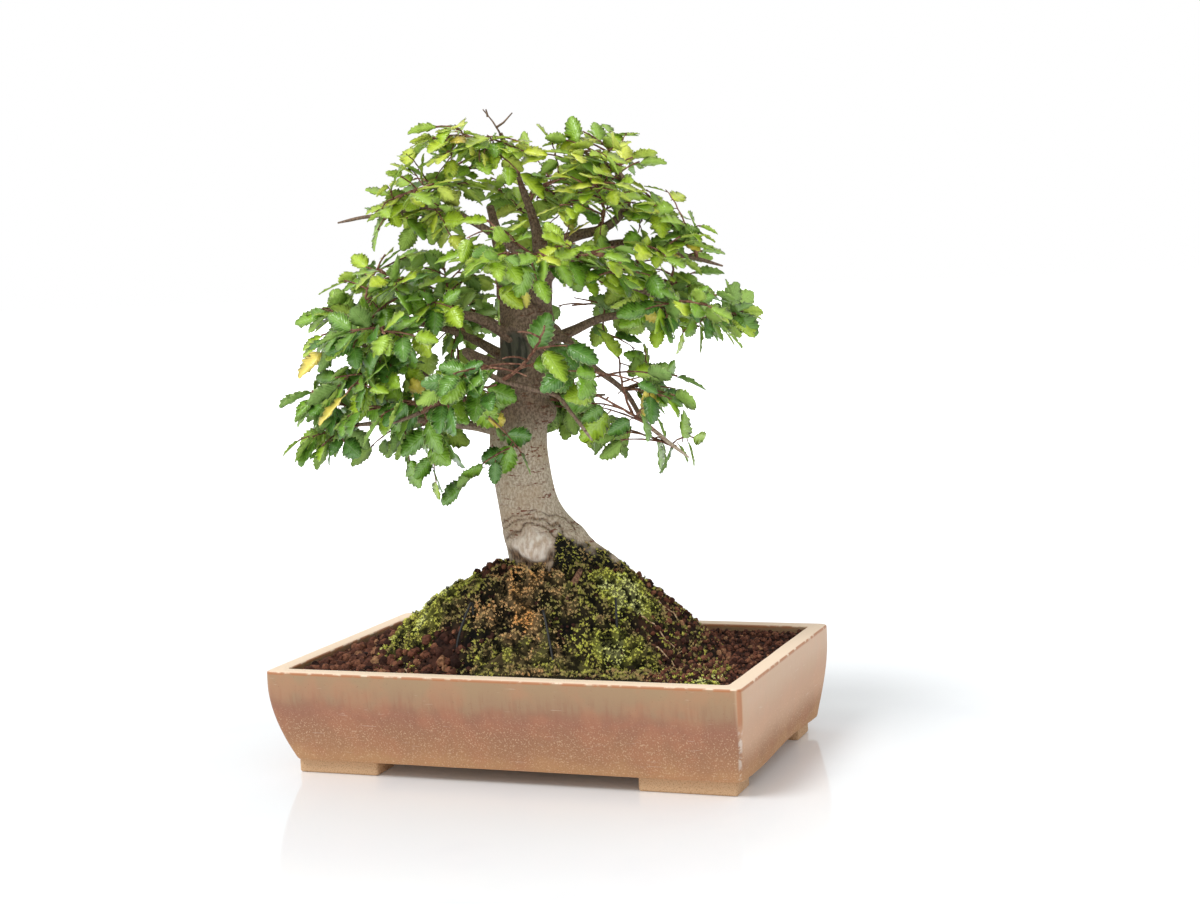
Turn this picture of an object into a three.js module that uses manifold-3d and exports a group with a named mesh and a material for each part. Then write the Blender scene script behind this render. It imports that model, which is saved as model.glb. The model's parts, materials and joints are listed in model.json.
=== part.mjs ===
// Chinese elm bonsai, growing in its soil in a rectangular handmade stoneware pot.
// Millimetres, +Z up, +X to the right along the pot's long side, +Y to the back, feet on z = 0.
// The origin is the middle of the whole object's outline, on the surface that the feet stand on.
import * as THREE from 'three';
import { mergeVertices } from 'three/addons/utils/BufferGeometryUtils.js';
import Module from 'manifold-3d';

const wasm = await Module();
wasm.setup();

// Driving dimensions of the pot
const pot = {
  halfLength: 161,
  halfDepth: 104,
  height: 71.3,
  bellyHeight: 62,
  bodyBottom: 9.6,
  cornerRadius: 5,
  wall: 11.6,
  floorTop: 18,
  taper: { left: 11, right: 6.5, front: 16, back: 9 },
  taperPower: 1.7,
  lip: 1.4,
  rings: 6,
  hollowRings: 3,
  foot: { outX: 150.3, outY: 83.6, lengthLeft: 57, lengthRight: 64, depth: 26, rounding: 2, sunk: 4 },
  drain: { x: 72, radius: 9, sides: 10 },
};
const screen = { size: 27, thick: 1.2, openings: 2, bar: 3 };

// Driving dimensions of the soil and of the mound of roots and soil under the trunk
const ground = {
  clear: 0.3,
  level: 66.3,
  halfLength: 148.2,
  halfDepth: 91.2,
  cornerCut: 3,
  bottomInset: { x: 9, y: 15 },
  cellsX: 16,
  cellsY: 10,
  grain: 1.1,
  grainPitch: 9,
};
const mound = {
  x: 4,
  y: -2,
  turn: 0.22,
  height: 66,
  left: 128,
  right: 112,
  front: 80,
  back: 78,
  power: 1.2,
  lump: 2.4,
  lumpPitch: 26,
  lumpFade: 3,
};

// The tree's front is turned against the pot's front
const frontTurn = THREE.MathUtils.degToRad(21);

// The gap that a piece keeps to the piece it touches, and the room cut round the tree and the pins
const joinGap = 0.3;
const toolRoom = 0.4;

// Colours and finishes
function finish(color, roughness) {
  return new THREE.MeshStandardMaterial({ color, roughness, metalness: 0 });
}
const clay = finish(0xb08a66, 0.7);
const earth = finish(0x3a2620, 0.95);
const mossGreen = finish(0x6c7a2c, 0.95);
const mossBrown = finish(0x8a6530, 0.95);
const mossBright = finish(0x86a13a, 0.95);
const bark = finish(0x9c8c7a, 0.85);
const leafGreen = finish(0x4f8a24, 0.4);
const leafYoung = finish(0x86b03c, 0.45);
const wireBlack = finish(0x1b1b1d, 0.5);
const screenBlack = finish(0x202422, 0.6);

// Moss cushions that lie on the soil: where each lies as seen from the tree's front, and its size
const moss = { thick: 4.6, tuft: 1.5, rings: 3, around: 10, root: 7, ragged: 0.15, frayed: 0.09, edge: 1 };
const mossSpots = [
  { name: 'moss_left_ridge', across: -78, near: 14, halfX: 37, halfY: 20, material: mossGreen },
  { name: 'moss_crown', across: -13, near: 43, halfX: 34, halfY: 15, material: mossBrown },
  { name: 'moss_centre', across: -14, near: 72, halfX: 33, halfY: 15, material: mossGreen },
  { name: 'moss_right_slope', across: 50, near: 34, halfX: 24, halfY: 16, material: mossBright },
  { name: 'moss_front_cushion', across: 45, near: 68, halfX: 24, halfY: 13, material: mossBright },
  { name: 'moss_rim_cushion', across: 90, near: 121, halfX: 12, halfY: 6, material: mossBright },
  { name: 'moss_back', across: 4, near: -48, halfX: 36, halfY: 17, material: mossGreen },
];

// Wire pins that hold the mound down: both ends pressed into the soil, the back over the moss
const pin = { radius: 0.8, over: 7.5, under: 7, shoulder: 0.1, sides: 4, steps: 5 };
const pinSpots = [
  { from: [-5, 57], to: [1, 79] },
  { from: [42, 49], to: [42, 63] },
  { from: [-50, 40], to: [-61, 52] },
];

// The tree's limbs: across, near and up of each point, with the radii at its two ends
const trunk = {
  points: [[8, -4, 84], [6, -2, 116], [1, 0, 133], [-4, 1, 143], [-9, 1, 155], [-13, 1, 170], [-16, 0, 190],
    [-17.5, 0, 210], [-14.5, -1, 238], [-10, -2, 262], [-9.5, -2, 282], [-9, -2, 298]],
  radii: [31, 31, 28.5, 25.5, 22, 19.6, 19, 19, 18.6, 17, 16.5, 13],
  sides: 11,
};
const boughs = {
  leader: { radii: [9, 5.5], points: [[-2, -2, 284], [1, -1, 305], [4, 0, 324], [5, -2, 338]] },
  left_leader: { radii: [8, 3], points: [[-15, -4, 280], [-21, -6, 302], [-22, -12, 322], [-26, -22, 344],
    [-30, -30, 366]] },
  left_low: { radii: [6.5, 2.2], points: [[-14, 2, 222], [-38, 6, 230], [-62, 14, 244], [-80, 20, 258],
    [-98, 22, 272], [-122, 18, 282]] },
  left_foot: { radii: [4, 1.6], points: [[-20, 2, 216], [-52, -4, 222], [-84, -10, 226], [-116, -14, 224]] },
  left_mid: { radii: [4.2, 1.5], points: [[-14, 4, 276], [-38, 12, 292], [-62, 18, 296], [-88, 22, 290],
    [-112, 18, 282]] },
  left_high: { radii: [4, 1.1], points: [[4, 0, 322], [-14, 6, 336], [-35, 10, 352], [-63, 14, 365],
    [-90, 14, 363], [-119, 8, 359]] },
  left_back: { radii: [4, 1.5], points: [[-18, -8, 262], [-44, -30, 276], [-72, -52, 286], [-98, -66, 288]] },
  top: { radii: [4.6, 1.2], points: [[4, -2, 334], [0, -6, 352], [-6, -8, 372], [-12, -4, 392],
    [-19, 0, 412]] },
  top_right: { radii: [4.4, 1.2], points: [[5, -1, 334], [22, 6, 342], [46, 12, 348], [60, 14, 360],
    [61, 12, 373], [52, 8, 386], [37, 4, 395]] },
  right_mid: { radii: [5, 1.8], points: [[4, 0, 318], [20, 6, 328], [34, 10, 328], [53, 14, 314],
    [72, 16, 304], [88, 16, 296]] },
  right_high: { radii: [3.4, 1.2], points: [[28, 8, 329], [48, 4, 336], [72, 0, 336], [96, 0, 328],
    [113, 2, 322]] },
  right_low: { radii: [3.4, 1.2], points: [[0, 8, 270], [13, 20, 279], [26, 28, 268], [38, 32, 256],
    [54, 36, 242], [66, 38, 222], [86, 38, 204]] },
  right_back: { radii: [4.4, 1.5], points: [[-2, -10, 270], [22, -28, 280], [48, -46, 288], [78, -60, 288],
    [100, -66, 280]] },
  back: { radii: [5, 1.8], points: [[-10, -12, 252], [-14, -38, 264], [-16, -66, 274], [-18, -94, 278]] },
  back_high: { radii: [4, 1.3], points: [[-2, -6, 296], [4, -24, 312], [8, -46, 328], [6, -66, 342]] },
  back_foot: { radii: [3.8, 1.4], points: [[-16, -12, 222], [-10, -38, 230], [10, -60, 234],
    [34, -76, 232]] },
  front_low: { radii: [3, 1.1], points: [[-20, 12, 258], [-38, 30, 268], [-46, 46, 272], [-28, 56, 256],
    [-2, 60, 248], [12, 62, 242], [26, 64, 222]] },
  front_high: { radii: [3.4, 1.1], points: [[0, 6, 302], [4, 22, 314], [10, 44, 322], [6, 68, 330]] },
  front_left: { radii: [3.2, 1.2], points: [[-22, 10, 230], [-40, 32, 238], [-60, 54, 240],
    [-84, 68, 234]] },
};
const roots = {
  right: { radii: [13, 3], points: [[20, 4, 128], [40, 4, 120], [58, 2, 106], [74, 0, 94], [92, -4, 80]] },
  right_back: { radii: [10, 3], points: [[20, -12, 122], [38, -26, 108], [54, -40, 92], [66, -50, 76]] },
  left_back: { radii: [10, 3], points: [[-4, -12, 120], [-22, -28, 110], [-40, -42, 94], [-54, -50, 78]] },
  front: { radii: [9, 3], points: [[16, 14, 122], [24, 30, 112], [30, 46, 96], [34, 58, 80]] },
};
// Stubs of cut branches, and healed cuts: a swollen lip of bark round a shallow dish of bare wood
const knobs = [
  { at: [-40, 4, 231], size: [8, 8, 9] },
  { at: [2, 6, 229], size: [7, 8, 8] },
  { at: [8, 2, 279], size: [7, 7, 8] },
];
const healedCuts = [
  { at: [-16, 14, 268], size: [13, 6, 19], dishAt: 7, dishShare: 0.8 },
  { at: [-8, 21, 139], size: [17, 8, 13], dishAt: 11, dishShare: 0.8 },
];
const oval = { around: 8, rings: 4 };
const limbShape = { boughPower: 0.7, thickBough: 4.5, thickSides: 6, thinSides: 4, rootSides: 5 };

// The crown's outline: how far it reaches at each height, and how many sprays end there
const tiers = [
  { up: 212, left: 150, right: 58, front: 84, back: 92, count: 8, turn: 0.2, lift: 48 },
  { up: 245, left: 160, right: 76, front: 104, back: 106, count: 9, turn: 0.5, lift: 22 },
  { up: 292, left: 158, right: 128, front: 112, back: 112, count: 9, turn: 0.05, lift: 0 },
  { up: 334, left: 118, right: 104, front: 92, back: 92, count: 8, turn: 0.4, lift: 0 },
  { up: 376, left: 92, right: 78, front: 66, back: 66, count: 6, turn: 0.15, lift: 0 },
  { up: 402, left: 74, right: 46, front: 34, back: 34, count: 4, turn: 0.6, lift: 0 },
];
const innerTiers = [
  { up: 262, left: 104, right: 64, front: 66, back: 66, count: 4, turn: 0.55, lift: 0 },
  { up: 312, left: 116, right: 82, front: 72, back: 72, count: 4, turn: 0.6, lift: 0 },
  { up: 358, left: 78, right: 70, front: 60, back: 60, count: 4, turn: 0.2, lift: 0 },
  { up: 392, left: 68, right: 50, front: 42, back: 42, count: 3, turn: 0.4, lift: 0 },
];
const tipDraw = { seed: 4711, turn: 0.18, reach: 0.9, up: 8 };
const crownHeart = { across: -10, height: 245 };

// Where a spray leaves its bough: the spots tried on each, and what makes a spot worse
const starts = {
  first: 0.3,
  last: 0.99,
  count: 7,
  downhill: 0.8,
  crowding: 15,
  crowd: 14,
  shortest: 56,
  stub: 2,
  tried: 12,
};

// A spray: a main twig that bends from its bough to its tip, with side twigs on alternate sides
const sprig = {
  seed: 7919,
  zone: 72,
  first: 0.22,
  alongBough: 0.22,
  alongWay: 0.3,
  rise: 0.1,
  shares: [0.05, 0.3, 0.55, 0.78],
  kept: 2,
  reach: { low: 26, high: 38, fade: 0.4 },
  alongMain: 0.55,
  aside: 0.85,
  lift: { low: -0.15, high: 0.35 },
  sag: { low: 0.05, high: 0.3 },
  mainSteps: 3,
  mainRadius: 1.7,
  tipRadius: 0.9,
  mainSides: 4,
  sideRadius: 0.75,
  sideSides: 3,
  sideFirst: 0.3,
  seatSearch: 16,
  seatStep: 0.25,
};

// A branch near the foot of a spray's main twig, that fills the crown between the sprays
const innerTwig = {
  seed: 3571,
  shares: [0.12, 0.3, 0.5],
  length: 38,
  tried: 20,
  alongMain: 0.2,
  alongWay: 0.35,
  first: 0.3,
  radius: 1.1,
  sides: 3,
  steps: 2,
};

// The leaves: their pitch along a twig, their size, and the pose of each
const leaf = {
  pitch: 8.5,
  sidePitch: 7.5,
  shortest: 15,
  longest: 23,
  slim: { low: 0.54, high: 0.66 },
  sunk: 1.5,
  thick: 1.5,
  ridge: 0.3,
  fold: 0.9,
  droop: 2.2,
  thinned: 4,
  kept: [1, 2],
  youngEvery: 3,
  youngAbove: 380,
  face: { outward: 0.8, tilt: 0.45, up: 0.4, upSpread: 0.3 },
  along: { low: 0.35, high: 0.65 },
  aside: { low: 0.7, high: 1 },
  endAside: { low: 0.4, high: 0.6 },
  hang: { low: 0.05, high: 0.5 },
};
const teeth = [[0.34, 1], [0.4, 0.8], [0.64, 0.86], [0.69, 0.6]];

// How a leaf is turned and tipped until it clears its neighbours, in radians
const leafBends = [[0, 0], [0.45, 0], [-0.45, 0], [0, 0.5], [0, -0.5], [0.9, 0.3], [-0.9, 0.3],
  [0.5, -0.6], [-0.5, -0.6]];

// Closed meshes as solids, and solids as named meshes
function solid(geometry) {
  const bare = geometry.clone();
  bare.deleteAttribute('normal');
  bare.deleteAttribute('uv');
  const merged = mergeVertices(bare, 1e-4);
  const corners = [];
  for (let i = 0; i < merged.index.count; i += 3) {
    const [a, b, c] = merged.index.array.slice(i, i + 3);
    if (a !== b && b !== c && c !== a) corners.push(a, b, c);
  }
  return new wasm.Manifold(new wasm.Mesh({
    numProp: 3,
    vertProperties: new Float32Array(merged.attributes.position.array),
    triVerts: new Uint32Array(corners),
  }));
}

function largest(body) {
  return body.decompose().reduce((best, piece) => (piece.volume() > best.volume() ? piece : best));
}

function fused(bodies) {
  return bodies.reduce((whole, body) => whole.add(body));
}

const group = new THREE.Group();

function place(name, body, material) {
  const data = largest(body).getMesh();
  const geometry = new THREE.BufferGeometry();
  geometry.setAttribute('position', new THREE.BufferAttribute(data.vertProperties, 3));
  geometry.setIndex(new THREE.BufferAttribute(data.triVerts, 1));
  geometry.computeVertexNormals();
  const mesh = new THREE.Mesh(geometry, material);
  mesh.name = name;
  group.add(mesh);
}

// A closed geometry from points and triangles
function closedGeometry(points, triangles) {
  const geometry = new THREE.BufferGeometry().setFromPoints(points);
  geometry.setIndex(triangles);
  return geometry;
}

// Seeded draw, the same on every run
function drawer(seed) {
  let state = seed;
  return (low = 0, high = 1) => {
    state = (state * 16807) % 2147483647;
    return low + ((high - low) * state) / 2147483647;
  };
}

const vec = (x, y, z) => new THREE.Vector3(x, y, z);

// A point of the tree: across as seen from its front, towards the viewer, and up
function seen(across, near, up) {
  const c = Math.cos(frontTurn);
  const s = Math.sin(frontTurn);
  return vec(across * c + near * s, across * s - near * c, up);
}

// A tapered limb along a curve, closed at both ends; radiusAt takes the share of the way
function limb(curve, radiusAt, sides, steps) {
  const geometry = new THREE.CylinderGeometry(1, 1, 1, sides, steps);
  geometry.deleteAttribute('normal');
  geometry.deleteAttribute('uv');
  const bare = mergeVertices(geometry, 1e-4);
  const rings = [];
  const side = Math.abs(curve.getTangent(0).x) > 0.9 ? vec(0, 1, 0) : vec(1, 0, 0);
  for (let k = 0; k <= steps; k += 1) {
    const along = curve.getTangent(k / steps);
    side.addScaledVector(along, -side.dot(along)).normalize();
    rings.push({ spot: curve.getPoint(k / steps), side: side.clone(), over: side.clone().cross(along) });
  }
  const position = bare.attributes.position;
  for (let i = 0; i < position.count; i += 1) {
    const u = position.getY(i) + 0.5;
    const ring = rings[Math.round(u * steps)];
    const radius = radiusAt(u);
    const point = ring.spot.clone()
      .addScaledVector(ring.side, position.getX(i) * radius)
      .addScaledVector(ring.over, position.getZ(i) * radius);
    position.setXYZ(i, point.x, point.y, point.z);
  }
  return solid(bare);
}

function smoothCurve(points) {
  return new THREE.CatmullRomCurve3(points, false, 'catmullrom', 0.5);
}

// The pot: a rounded block whose sides swell and draw in, hollowed, on four feet
function roundedRectangle(halfX, halfY, radius) {
  const shape = new THREE.Shape();
  shape.moveTo(-halfX + radius, -halfY);
  shape.lineTo(halfX - radius, -halfY);
  shape.absarc(halfX - radius, -halfY + radius, radius, -Math.PI / 2, 0, false);
  shape.lineTo(halfX, halfY - radius);
  shape.absarc(halfX - radius, halfY - radius, radius, 0, Math.PI / 2, false);
  shape.lineTo(-halfX + radius, halfY);
  shape.absarc(-halfX + radius, halfY - radius, radius, Math.PI / 2, Math.PI, false);
  shape.lineTo(-halfX, -halfY + radius);
  shape.absarc(-halfX + radius, -halfY + radius, radius, Math.PI, Math.PI * 1.5, false);
  return shape;
}

// How far the wall is drawn in at a height, as a share of its taper
function drawnIn(z) {
  const share = (pot.bellyHeight - z) / (pot.bellyHeight - pot.bodyBottom);
  return share <= 0 ? 0 : share ** pot.taperPower;
}

// A block with rounded corners between two heights, its sides following the wall's curve
function sweptBlock(halfX, halfY, radius, low, high, steps, lip) {
  const geometry = new THREE.ExtrudeGeometry(roundedRectangle(halfX, halfY, radius), {
    depth: 1, steps, bevelEnabled: false, curveSegments: 2,
  });
  const position = geometry.attributes.position;
  for (let i = 0; i < position.count; i += 1) {
    const share = position.getZ(i);
    const z = low + (high - low) * share;
    const x = position.getX(i);
    const y = position.getY(i);
    const drawn = drawnIn(z);
    const edge = (share < 0.01 || share > 0.99) ? lip : 0;
    const insetX = drawn * (x < 0 ? pot.taper.left : pot.taper.right) + edge;
    const insetY = drawn * (y < 0 ? pot.taper.front : pot.taper.back) + edge;
    position.setXYZ(i, x * (1 - insetX / halfX), y * (1 - insetY / halfY), z);
  }
  return solid(geometry);
}

function foot(sideX, sideY, length) {
  const outline = roundedRectangle(length / 2, pot.foot.depth / 2, pot.foot.rounding);
  const geometry = new THREE.ExtrudeGeometry(outline, {
    depth: pot.bodyBottom + pot.foot.sunk, steps: 1, bevelEnabled: false, curveSegments: 2,
  });
  geometry.translate(sideX * (pot.foot.outX - length / 2), sideY * (pot.foot.outY - pot.foot.depth / 2), 0);
  return solid(geometry);
}

function makePot() {
  const body = sweptBlock(pot.halfLength, pot.halfDepth, pot.cornerRadius, pot.bodyBottom, pot.height,
    pot.rings, pot.lip);
  const hollow = sweptBlock(pot.halfLength - pot.wall, pot.halfDepth - pot.wall, pot.cornerRadius / 2,
    pot.floorTop, pot.height + 1, pot.hollowRings, 0);
  const feet = [
    foot(-1, -1, pot.foot.lengthLeft),
    foot(-1, 1, pot.foot.lengthLeft),
    foot(1, -1, pot.foot.lengthRight),
    foot(1, 1, pot.foot.lengthRight),
  ];
  let whole = fused([body, ...feet]).subtract(hollow);
  const { x, radius, sides } = pot.drain;
  for (const side of [-1, 1]) {
    const hole = new THREE.CylinderGeometry(radius, radius, pot.floorTop * 2, sides);
    hole.rotateX(Math.PI / 2);
    hole.translate(side * x, 0, pot.floorTop);
    whole = whole.subtract(solid(hole));
  }
  place('pot', whole, clay);
}

// The drainage screens, grids of bars that lie on the pot's floor over its holes
function makeScreens() {
  const { size, thick, openings, bar } = screen;
  const pitch = (size - bar) / openings;
  for (const [name, side] of [['drain_screen_left', -1], ['drain_screen_right', 1]]) {
    const middle = vec(side * pot.drain.x, 0, pot.floorTop + ground.clear + thick / 2);
    const boxAt = (width, depth, x, y) => {
      const box = new THREE.BoxGeometry(width, width, depth);
      box.translate(middle.x + x, middle.y + y, middle.z);
      return solid(box);
    };
    let grid = boxAt(size, thick, 0, 0);
    for (let i = 0; i < openings; i += 1) {
      for (let j = 0; j < openings; j += 1) {
        const x = (i + 0.5 - openings / 2) * pitch;
        const y = (j + 0.5 - openings / 2) * pitch;
        grid = grid.subtract(boxAt(pitch - bar, thick * 2, x, y));
      }
    }
    place(name, grid, screenBlack);
  }
}

// The soil's surface: level in the tray, heaped under the trunk, lumpy and grained
function grained(x, y, pitch) {
  return Math.sin((x * 6.283) / pitch + 1.7 * Math.sin((y * 6.283) / (pitch * 1.37)))
    * Math.cos((y * 6.283) / (pitch * 0.83) + 1.3 * Math.sin((x * 6.283) / (pitch * 1.61)));
}

function heap(x, y) {
  const c = Math.cos(mound.turn);
  const s = Math.sin(mound.turn);
  const across = (x - mound.x) * c + (y - mound.y) * s;
  const back = -(x - mound.x) * s + (y - mound.y) * c;
  const reachX = across < 0 ? mound.left : mound.right;
  const reachY = back < 0 ? mound.front : mound.back;
  const far = (across / reachX) ** 2 + (back / reachY) ** 2;
  return far >= 1 ? 0 : (1 - far) ** mound.power;
}

function surface(x, y) {
  const rise = heap(x, y);
  const lumps = mound.lump * grained(x, y, mound.lumpPitch) * Math.min(1, rise * mound.lumpFade);
  return ground.level + mound.height * rise + lumps + ground.grain * grained(x, y, ground.grainPitch);
}

function makeGround(tools) {
  const points = [];
  const triangles = [];
  const nx = ground.cellsX;
  const ny = ground.cellsY;
  const index = (i, j) => j * (nx + 1) + i;
  for (let j = 0; j <= ny; j += 1) {
    for (let i = 0; i <= nx; i += 1) {
      const corner = (i === 0 || i === nx) && (j === 0 || j === ny);
      const cut = corner ? ground.cornerCut : 0;
      const x = (i / nx * 2 - 1) * (ground.halfLength - cut);
      const y = (j / ny * 2 - 1) * (ground.halfDepth - cut);
      points.push(vec(x, y, surface(x, y)));
    }
  }
  for (let j = 0; j < ny; j += 1) {
    for (let i = 0; i < nx; i += 1) {
      triangles.push(index(i, j), index(i + 1, j), index(i + 1, j + 1));
      triangles.push(index(i, j), index(i + 1, j + 1), index(i, j + 1));
    }
  }
  const edge = [];
  for (let i = 0; i < nx; i += 1) edge.push(index(i, 0));
  for (let j = 0; j < ny; j += 1) edge.push(index(nx, j));
  for (let i = nx; i > 0; i -= 1) edge.push(index(i, ny));
  for (let j = ny; j > 0; j -= 1) edge.push(index(0, j));
  const low = pot.floorTop + ground.clear;
  const first = points.length;
  for (const k of edge) {
    const top = points[k];
    points.push(vec(top.x * (1 - ground.bottomInset.x / ground.halfLength),
      top.y * (1 - ground.bottomInset.y / ground.halfDepth), low));
  }
  const middle = points.length;
  points.push(vec(0, 0, low));
  edge.forEach((k, n) => {
    const next = (n + 1) % edge.length;
    triangles.push(k, first + n, first + next);
    triangles.push(k, first + next, edge[next]);
    triangles.push(middle, first + next, first + n);
  });
  let body = solid(closedGeometry(points, triangles));
  for (const side of [-1, 1]) {
    const size = screen.size + 2 * ground.clear;
    const room = new THREE.BoxGeometry(size, size, 2 * (screen.thick + ground.clear));
    room.translate(side * pot.drain.x, 0, low);
    body = body.subtract(solid(room));
  }
  for (const tool of tools) {
    body = body.subtract(tool);
  }
  place('soil', body, earth);
  return largest(body);
}

// A moss cushion, its rim pressed into the soil
function mossLump(spot, grow) {
  const { rings, around } = moss;
  const top = [];
  const under = [];
  for (let r = 0; r <= rings; r += 1) {
    const share = r / rings;
    for (let k = 0; k < (r === 0 ? 1 : around); k += 1) {
      const angle = (k / around) * 2 * Math.PI;
      const ragged = 1 + moss.ragged * Math.sin(3 * angle + spot.across)
        + moss.frayed * Math.sin(4 * angle + spot.near);
      const point = seen(spot.across + Math.cos(angle) * share * (spot.halfX + grow) * ragged,
        spot.near - Math.sin(angle) * share * (spot.halfY + grow) * ragged, 0);
      const low = surface(point.x, point.y);
      const tuft = grow * 2 + moss.tuft * ((r + k) % 2 === 0 ? 1 : -0.5);
      const rise = r === rings ? -moss.edge : moss.thick + tuft;
      under.push(vec(point.x, point.y, low - moss.root));
      top.push(vec(point.x, point.y, low + rise));
    }
  }
  const n = top.length;
  const at = (r, k) => (r === 0 ? 0 : 1 + (r - 1) * around + (k % around));
  const triangles = [];
  for (let k = 0; k < around; k += 1) {
    for (let r = 0; r < rings; r += 1) {
      const [a, b, c, d] = [at(r, k), at(r + 1, k), at(r + 1, k + 1), at(r, k + 1)];
      triangles.push(a, b, c, n + a, n + c, n + b);
      if (r > 0) triangles.push(a, c, d, n + a, n + d, n + c);
    }
    const [b, c] = [at(rings, k), at(rings, k + 1)];
    triangles.push(b, n + b, n + c, b, n + c, c);
  }
  return solid(closedGeometry([...top, ...under], triangles));
}

function makeMoss(soilBody, tools) {
  const cutters = [soilBody, soilBody.translate([0, 0, joinGap]), ...tools];
  for (const spot of mossSpots) {
    const body = cutters.reduce((rest, cutter) => rest.subtract(cutter), mossLump(spot, 0));
    place(spot.name, body, spot.material);
    cutters.push(mossLump(spot, toolRoom * 2));
  }
}

// A bent wire pin
function pinBody({ from, to }, grow) {
  const onGround = ([across, near], rise) => {
    const point = seen(across, near, 0);
    point.z = surface(point.x, point.y) + rise;
    return point;
  };
  const between = (share) => [from[0] + (to[0] - from[0]) * share, from[1] + (to[1] - from[1]) * share];
  const curve = smoothCurve([onGround(from, -pin.under), onGround(between(pin.shoulder), pin.over),
    onGround(between(1 - pin.shoulder), pin.over), onGround(to, -pin.under)]);
  return limb(curve, () => pin.radius + grow, pin.sides, pin.steps);
}

function makePins() {
  pinSpots.forEach((spot, k) => place(`wire_pin_${k + 1}`, pinBody(spot, 0), wireBlack));
  return pinSpots.map((spot) => pinBody(spot, toolRoom));
}

const limbCurve = (points) => smoothCurve(points.map(([a, n, u]) => seen(a, n, u)));

function steppedRadius(radii) {
  return (u) => {
    const f = Math.min(u, 0.9999) * (radii.length - 1);
    const i = Math.floor(f);
    return radii[i] + (radii[i + 1] - radii[i]) * (f - i);
  };
}

// An oval body whose poles point to the front and the back
function ovalAt(size, [a, n, u]) {
  const ball = new THREE.SphereGeometry(1, oval.around, oval.rings);
  ball.scale(size[0], size[1], size[2]);
  ball.rotateZ(frontTurn);
  const spot = seen(a, n, u);
  ball.translate(spot.x, spot.y, spot.z);
  return solid(ball);
}

function treeBody(grow) {
  const trunkRadius = steppedRadius(trunk.radii);
  const bodies = [limb(limbCurve(trunk.points), (u) => trunkRadius(u) + grow, trunk.sides,
    trunk.points.length - 1)];
  for (const { points, radii } of Object.values(boughs)) {
    const sides = radii[0] > limbShape.thickBough ? limbShape.thickSides : limbShape.thinSides;
    const radiusAt = (u) => radii[0] + (radii[1] - radii[0]) * u ** limbShape.boughPower + grow;
    bodies.push(limb(limbCurve(points), radiusAt, sides, points.length - 1));
  }
  for (const { points, radii } of Object.values(roots)) {
    const radiusAt = (u) => radii[0] + (radii[1] - radii[0]) * u + grow;
    bodies.push(limb(limbCurve(points), radiusAt, limbShape.rootSides, points.length - 1));
  }
  for (const { at, size } of [...knobs, ...healedCuts]) {
    bodies.push(ovalAt(size.map((half) => half + grow), at));
  }
  return fused(bodies);
}

function makeTree() {
  let whole = treeBody(0);
  for (const { at, size, dishAt, dishShare } of healedCuts) {
    whole = whole.subtract(ovalAt(size.map((half) => half * dishShare), [at[0], at[1] + dishAt, at[2]]));
  }
  place('tree', whole, bark);
}

function crownTips(rings) {
  const tips = [];
  const draw = drawer(tipDraw.seed);
  for (const tier of rings) {
    for (let i = 0; i < tier.count; i += 1) {
      const angle = ((i + tier.turn + draw(-tipDraw.turn, tipDraw.turn)) / tier.count) * 2 * Math.PI;
      const across = Math.cos(angle);
      const near = Math.sin(angle);
      const reach = draw(tipDraw.reach, 1);
      tips.push(seen(across * reach * (across < 0 ? tier.left : tier.right),
        near * reach * (near < 0 ? tier.back : tier.front),
        tier.up + tier.lift * Math.max(0, near) ** 2 + draw(-tipDraw.up, tipDraw.up)));
    }
  }
  return tips;
}

// The spots on the boughs where sprays may start
function boughSpots() {
  const spots = [];
  for (const { points } of Object.values(boughs)) {
    const curve = limbCurve(points);
    for (let k = 0; k < starts.count; k += 1) {
      const u = starts.first + ((starts.last - starts.first) * k) / (starts.count - 1);
      spots.push({ at: curve.getPoint(u), along: curve.getTangent(u), used: 0 });
    }
  }
  return spots;
}

// The spots that suit a tip best: near it, not above it, and not crowded
function bestSpots(spots, tip) {
  const cost = ({ at, used }) => {
    const far = at.distanceTo(tip);
    return far + starts.stub * Math.max(0, starts.shortest - far)
      + starts.downhill * Math.max(0, at.z - tip.z) + starts.crowding * used;
  };
  return [...spots].sort((a, b) => cost(a) - cost(b)).slice(0, starts.tried);
}

function markUsed(spots, start) {
  for (const spot of spots) {
    if (spot.at.distanceTo(start.at) < starts.crowd) spot.used += 1;
  }
}

// A point on the straight steps of a twig
function stepPoint(curve, steps, u) {
  const k = Math.min(Math.floor(u * steps), steps - 1);
  return curve.getPoint(k / steps).lerp(curve.getPoint((k + 1) / steps), u * steps - k);
}

// The leaves on one twig, on alternate sides, facing out of the crown and up
const heart = seen(crownHeart.across, 0, crownHeart.height);

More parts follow.
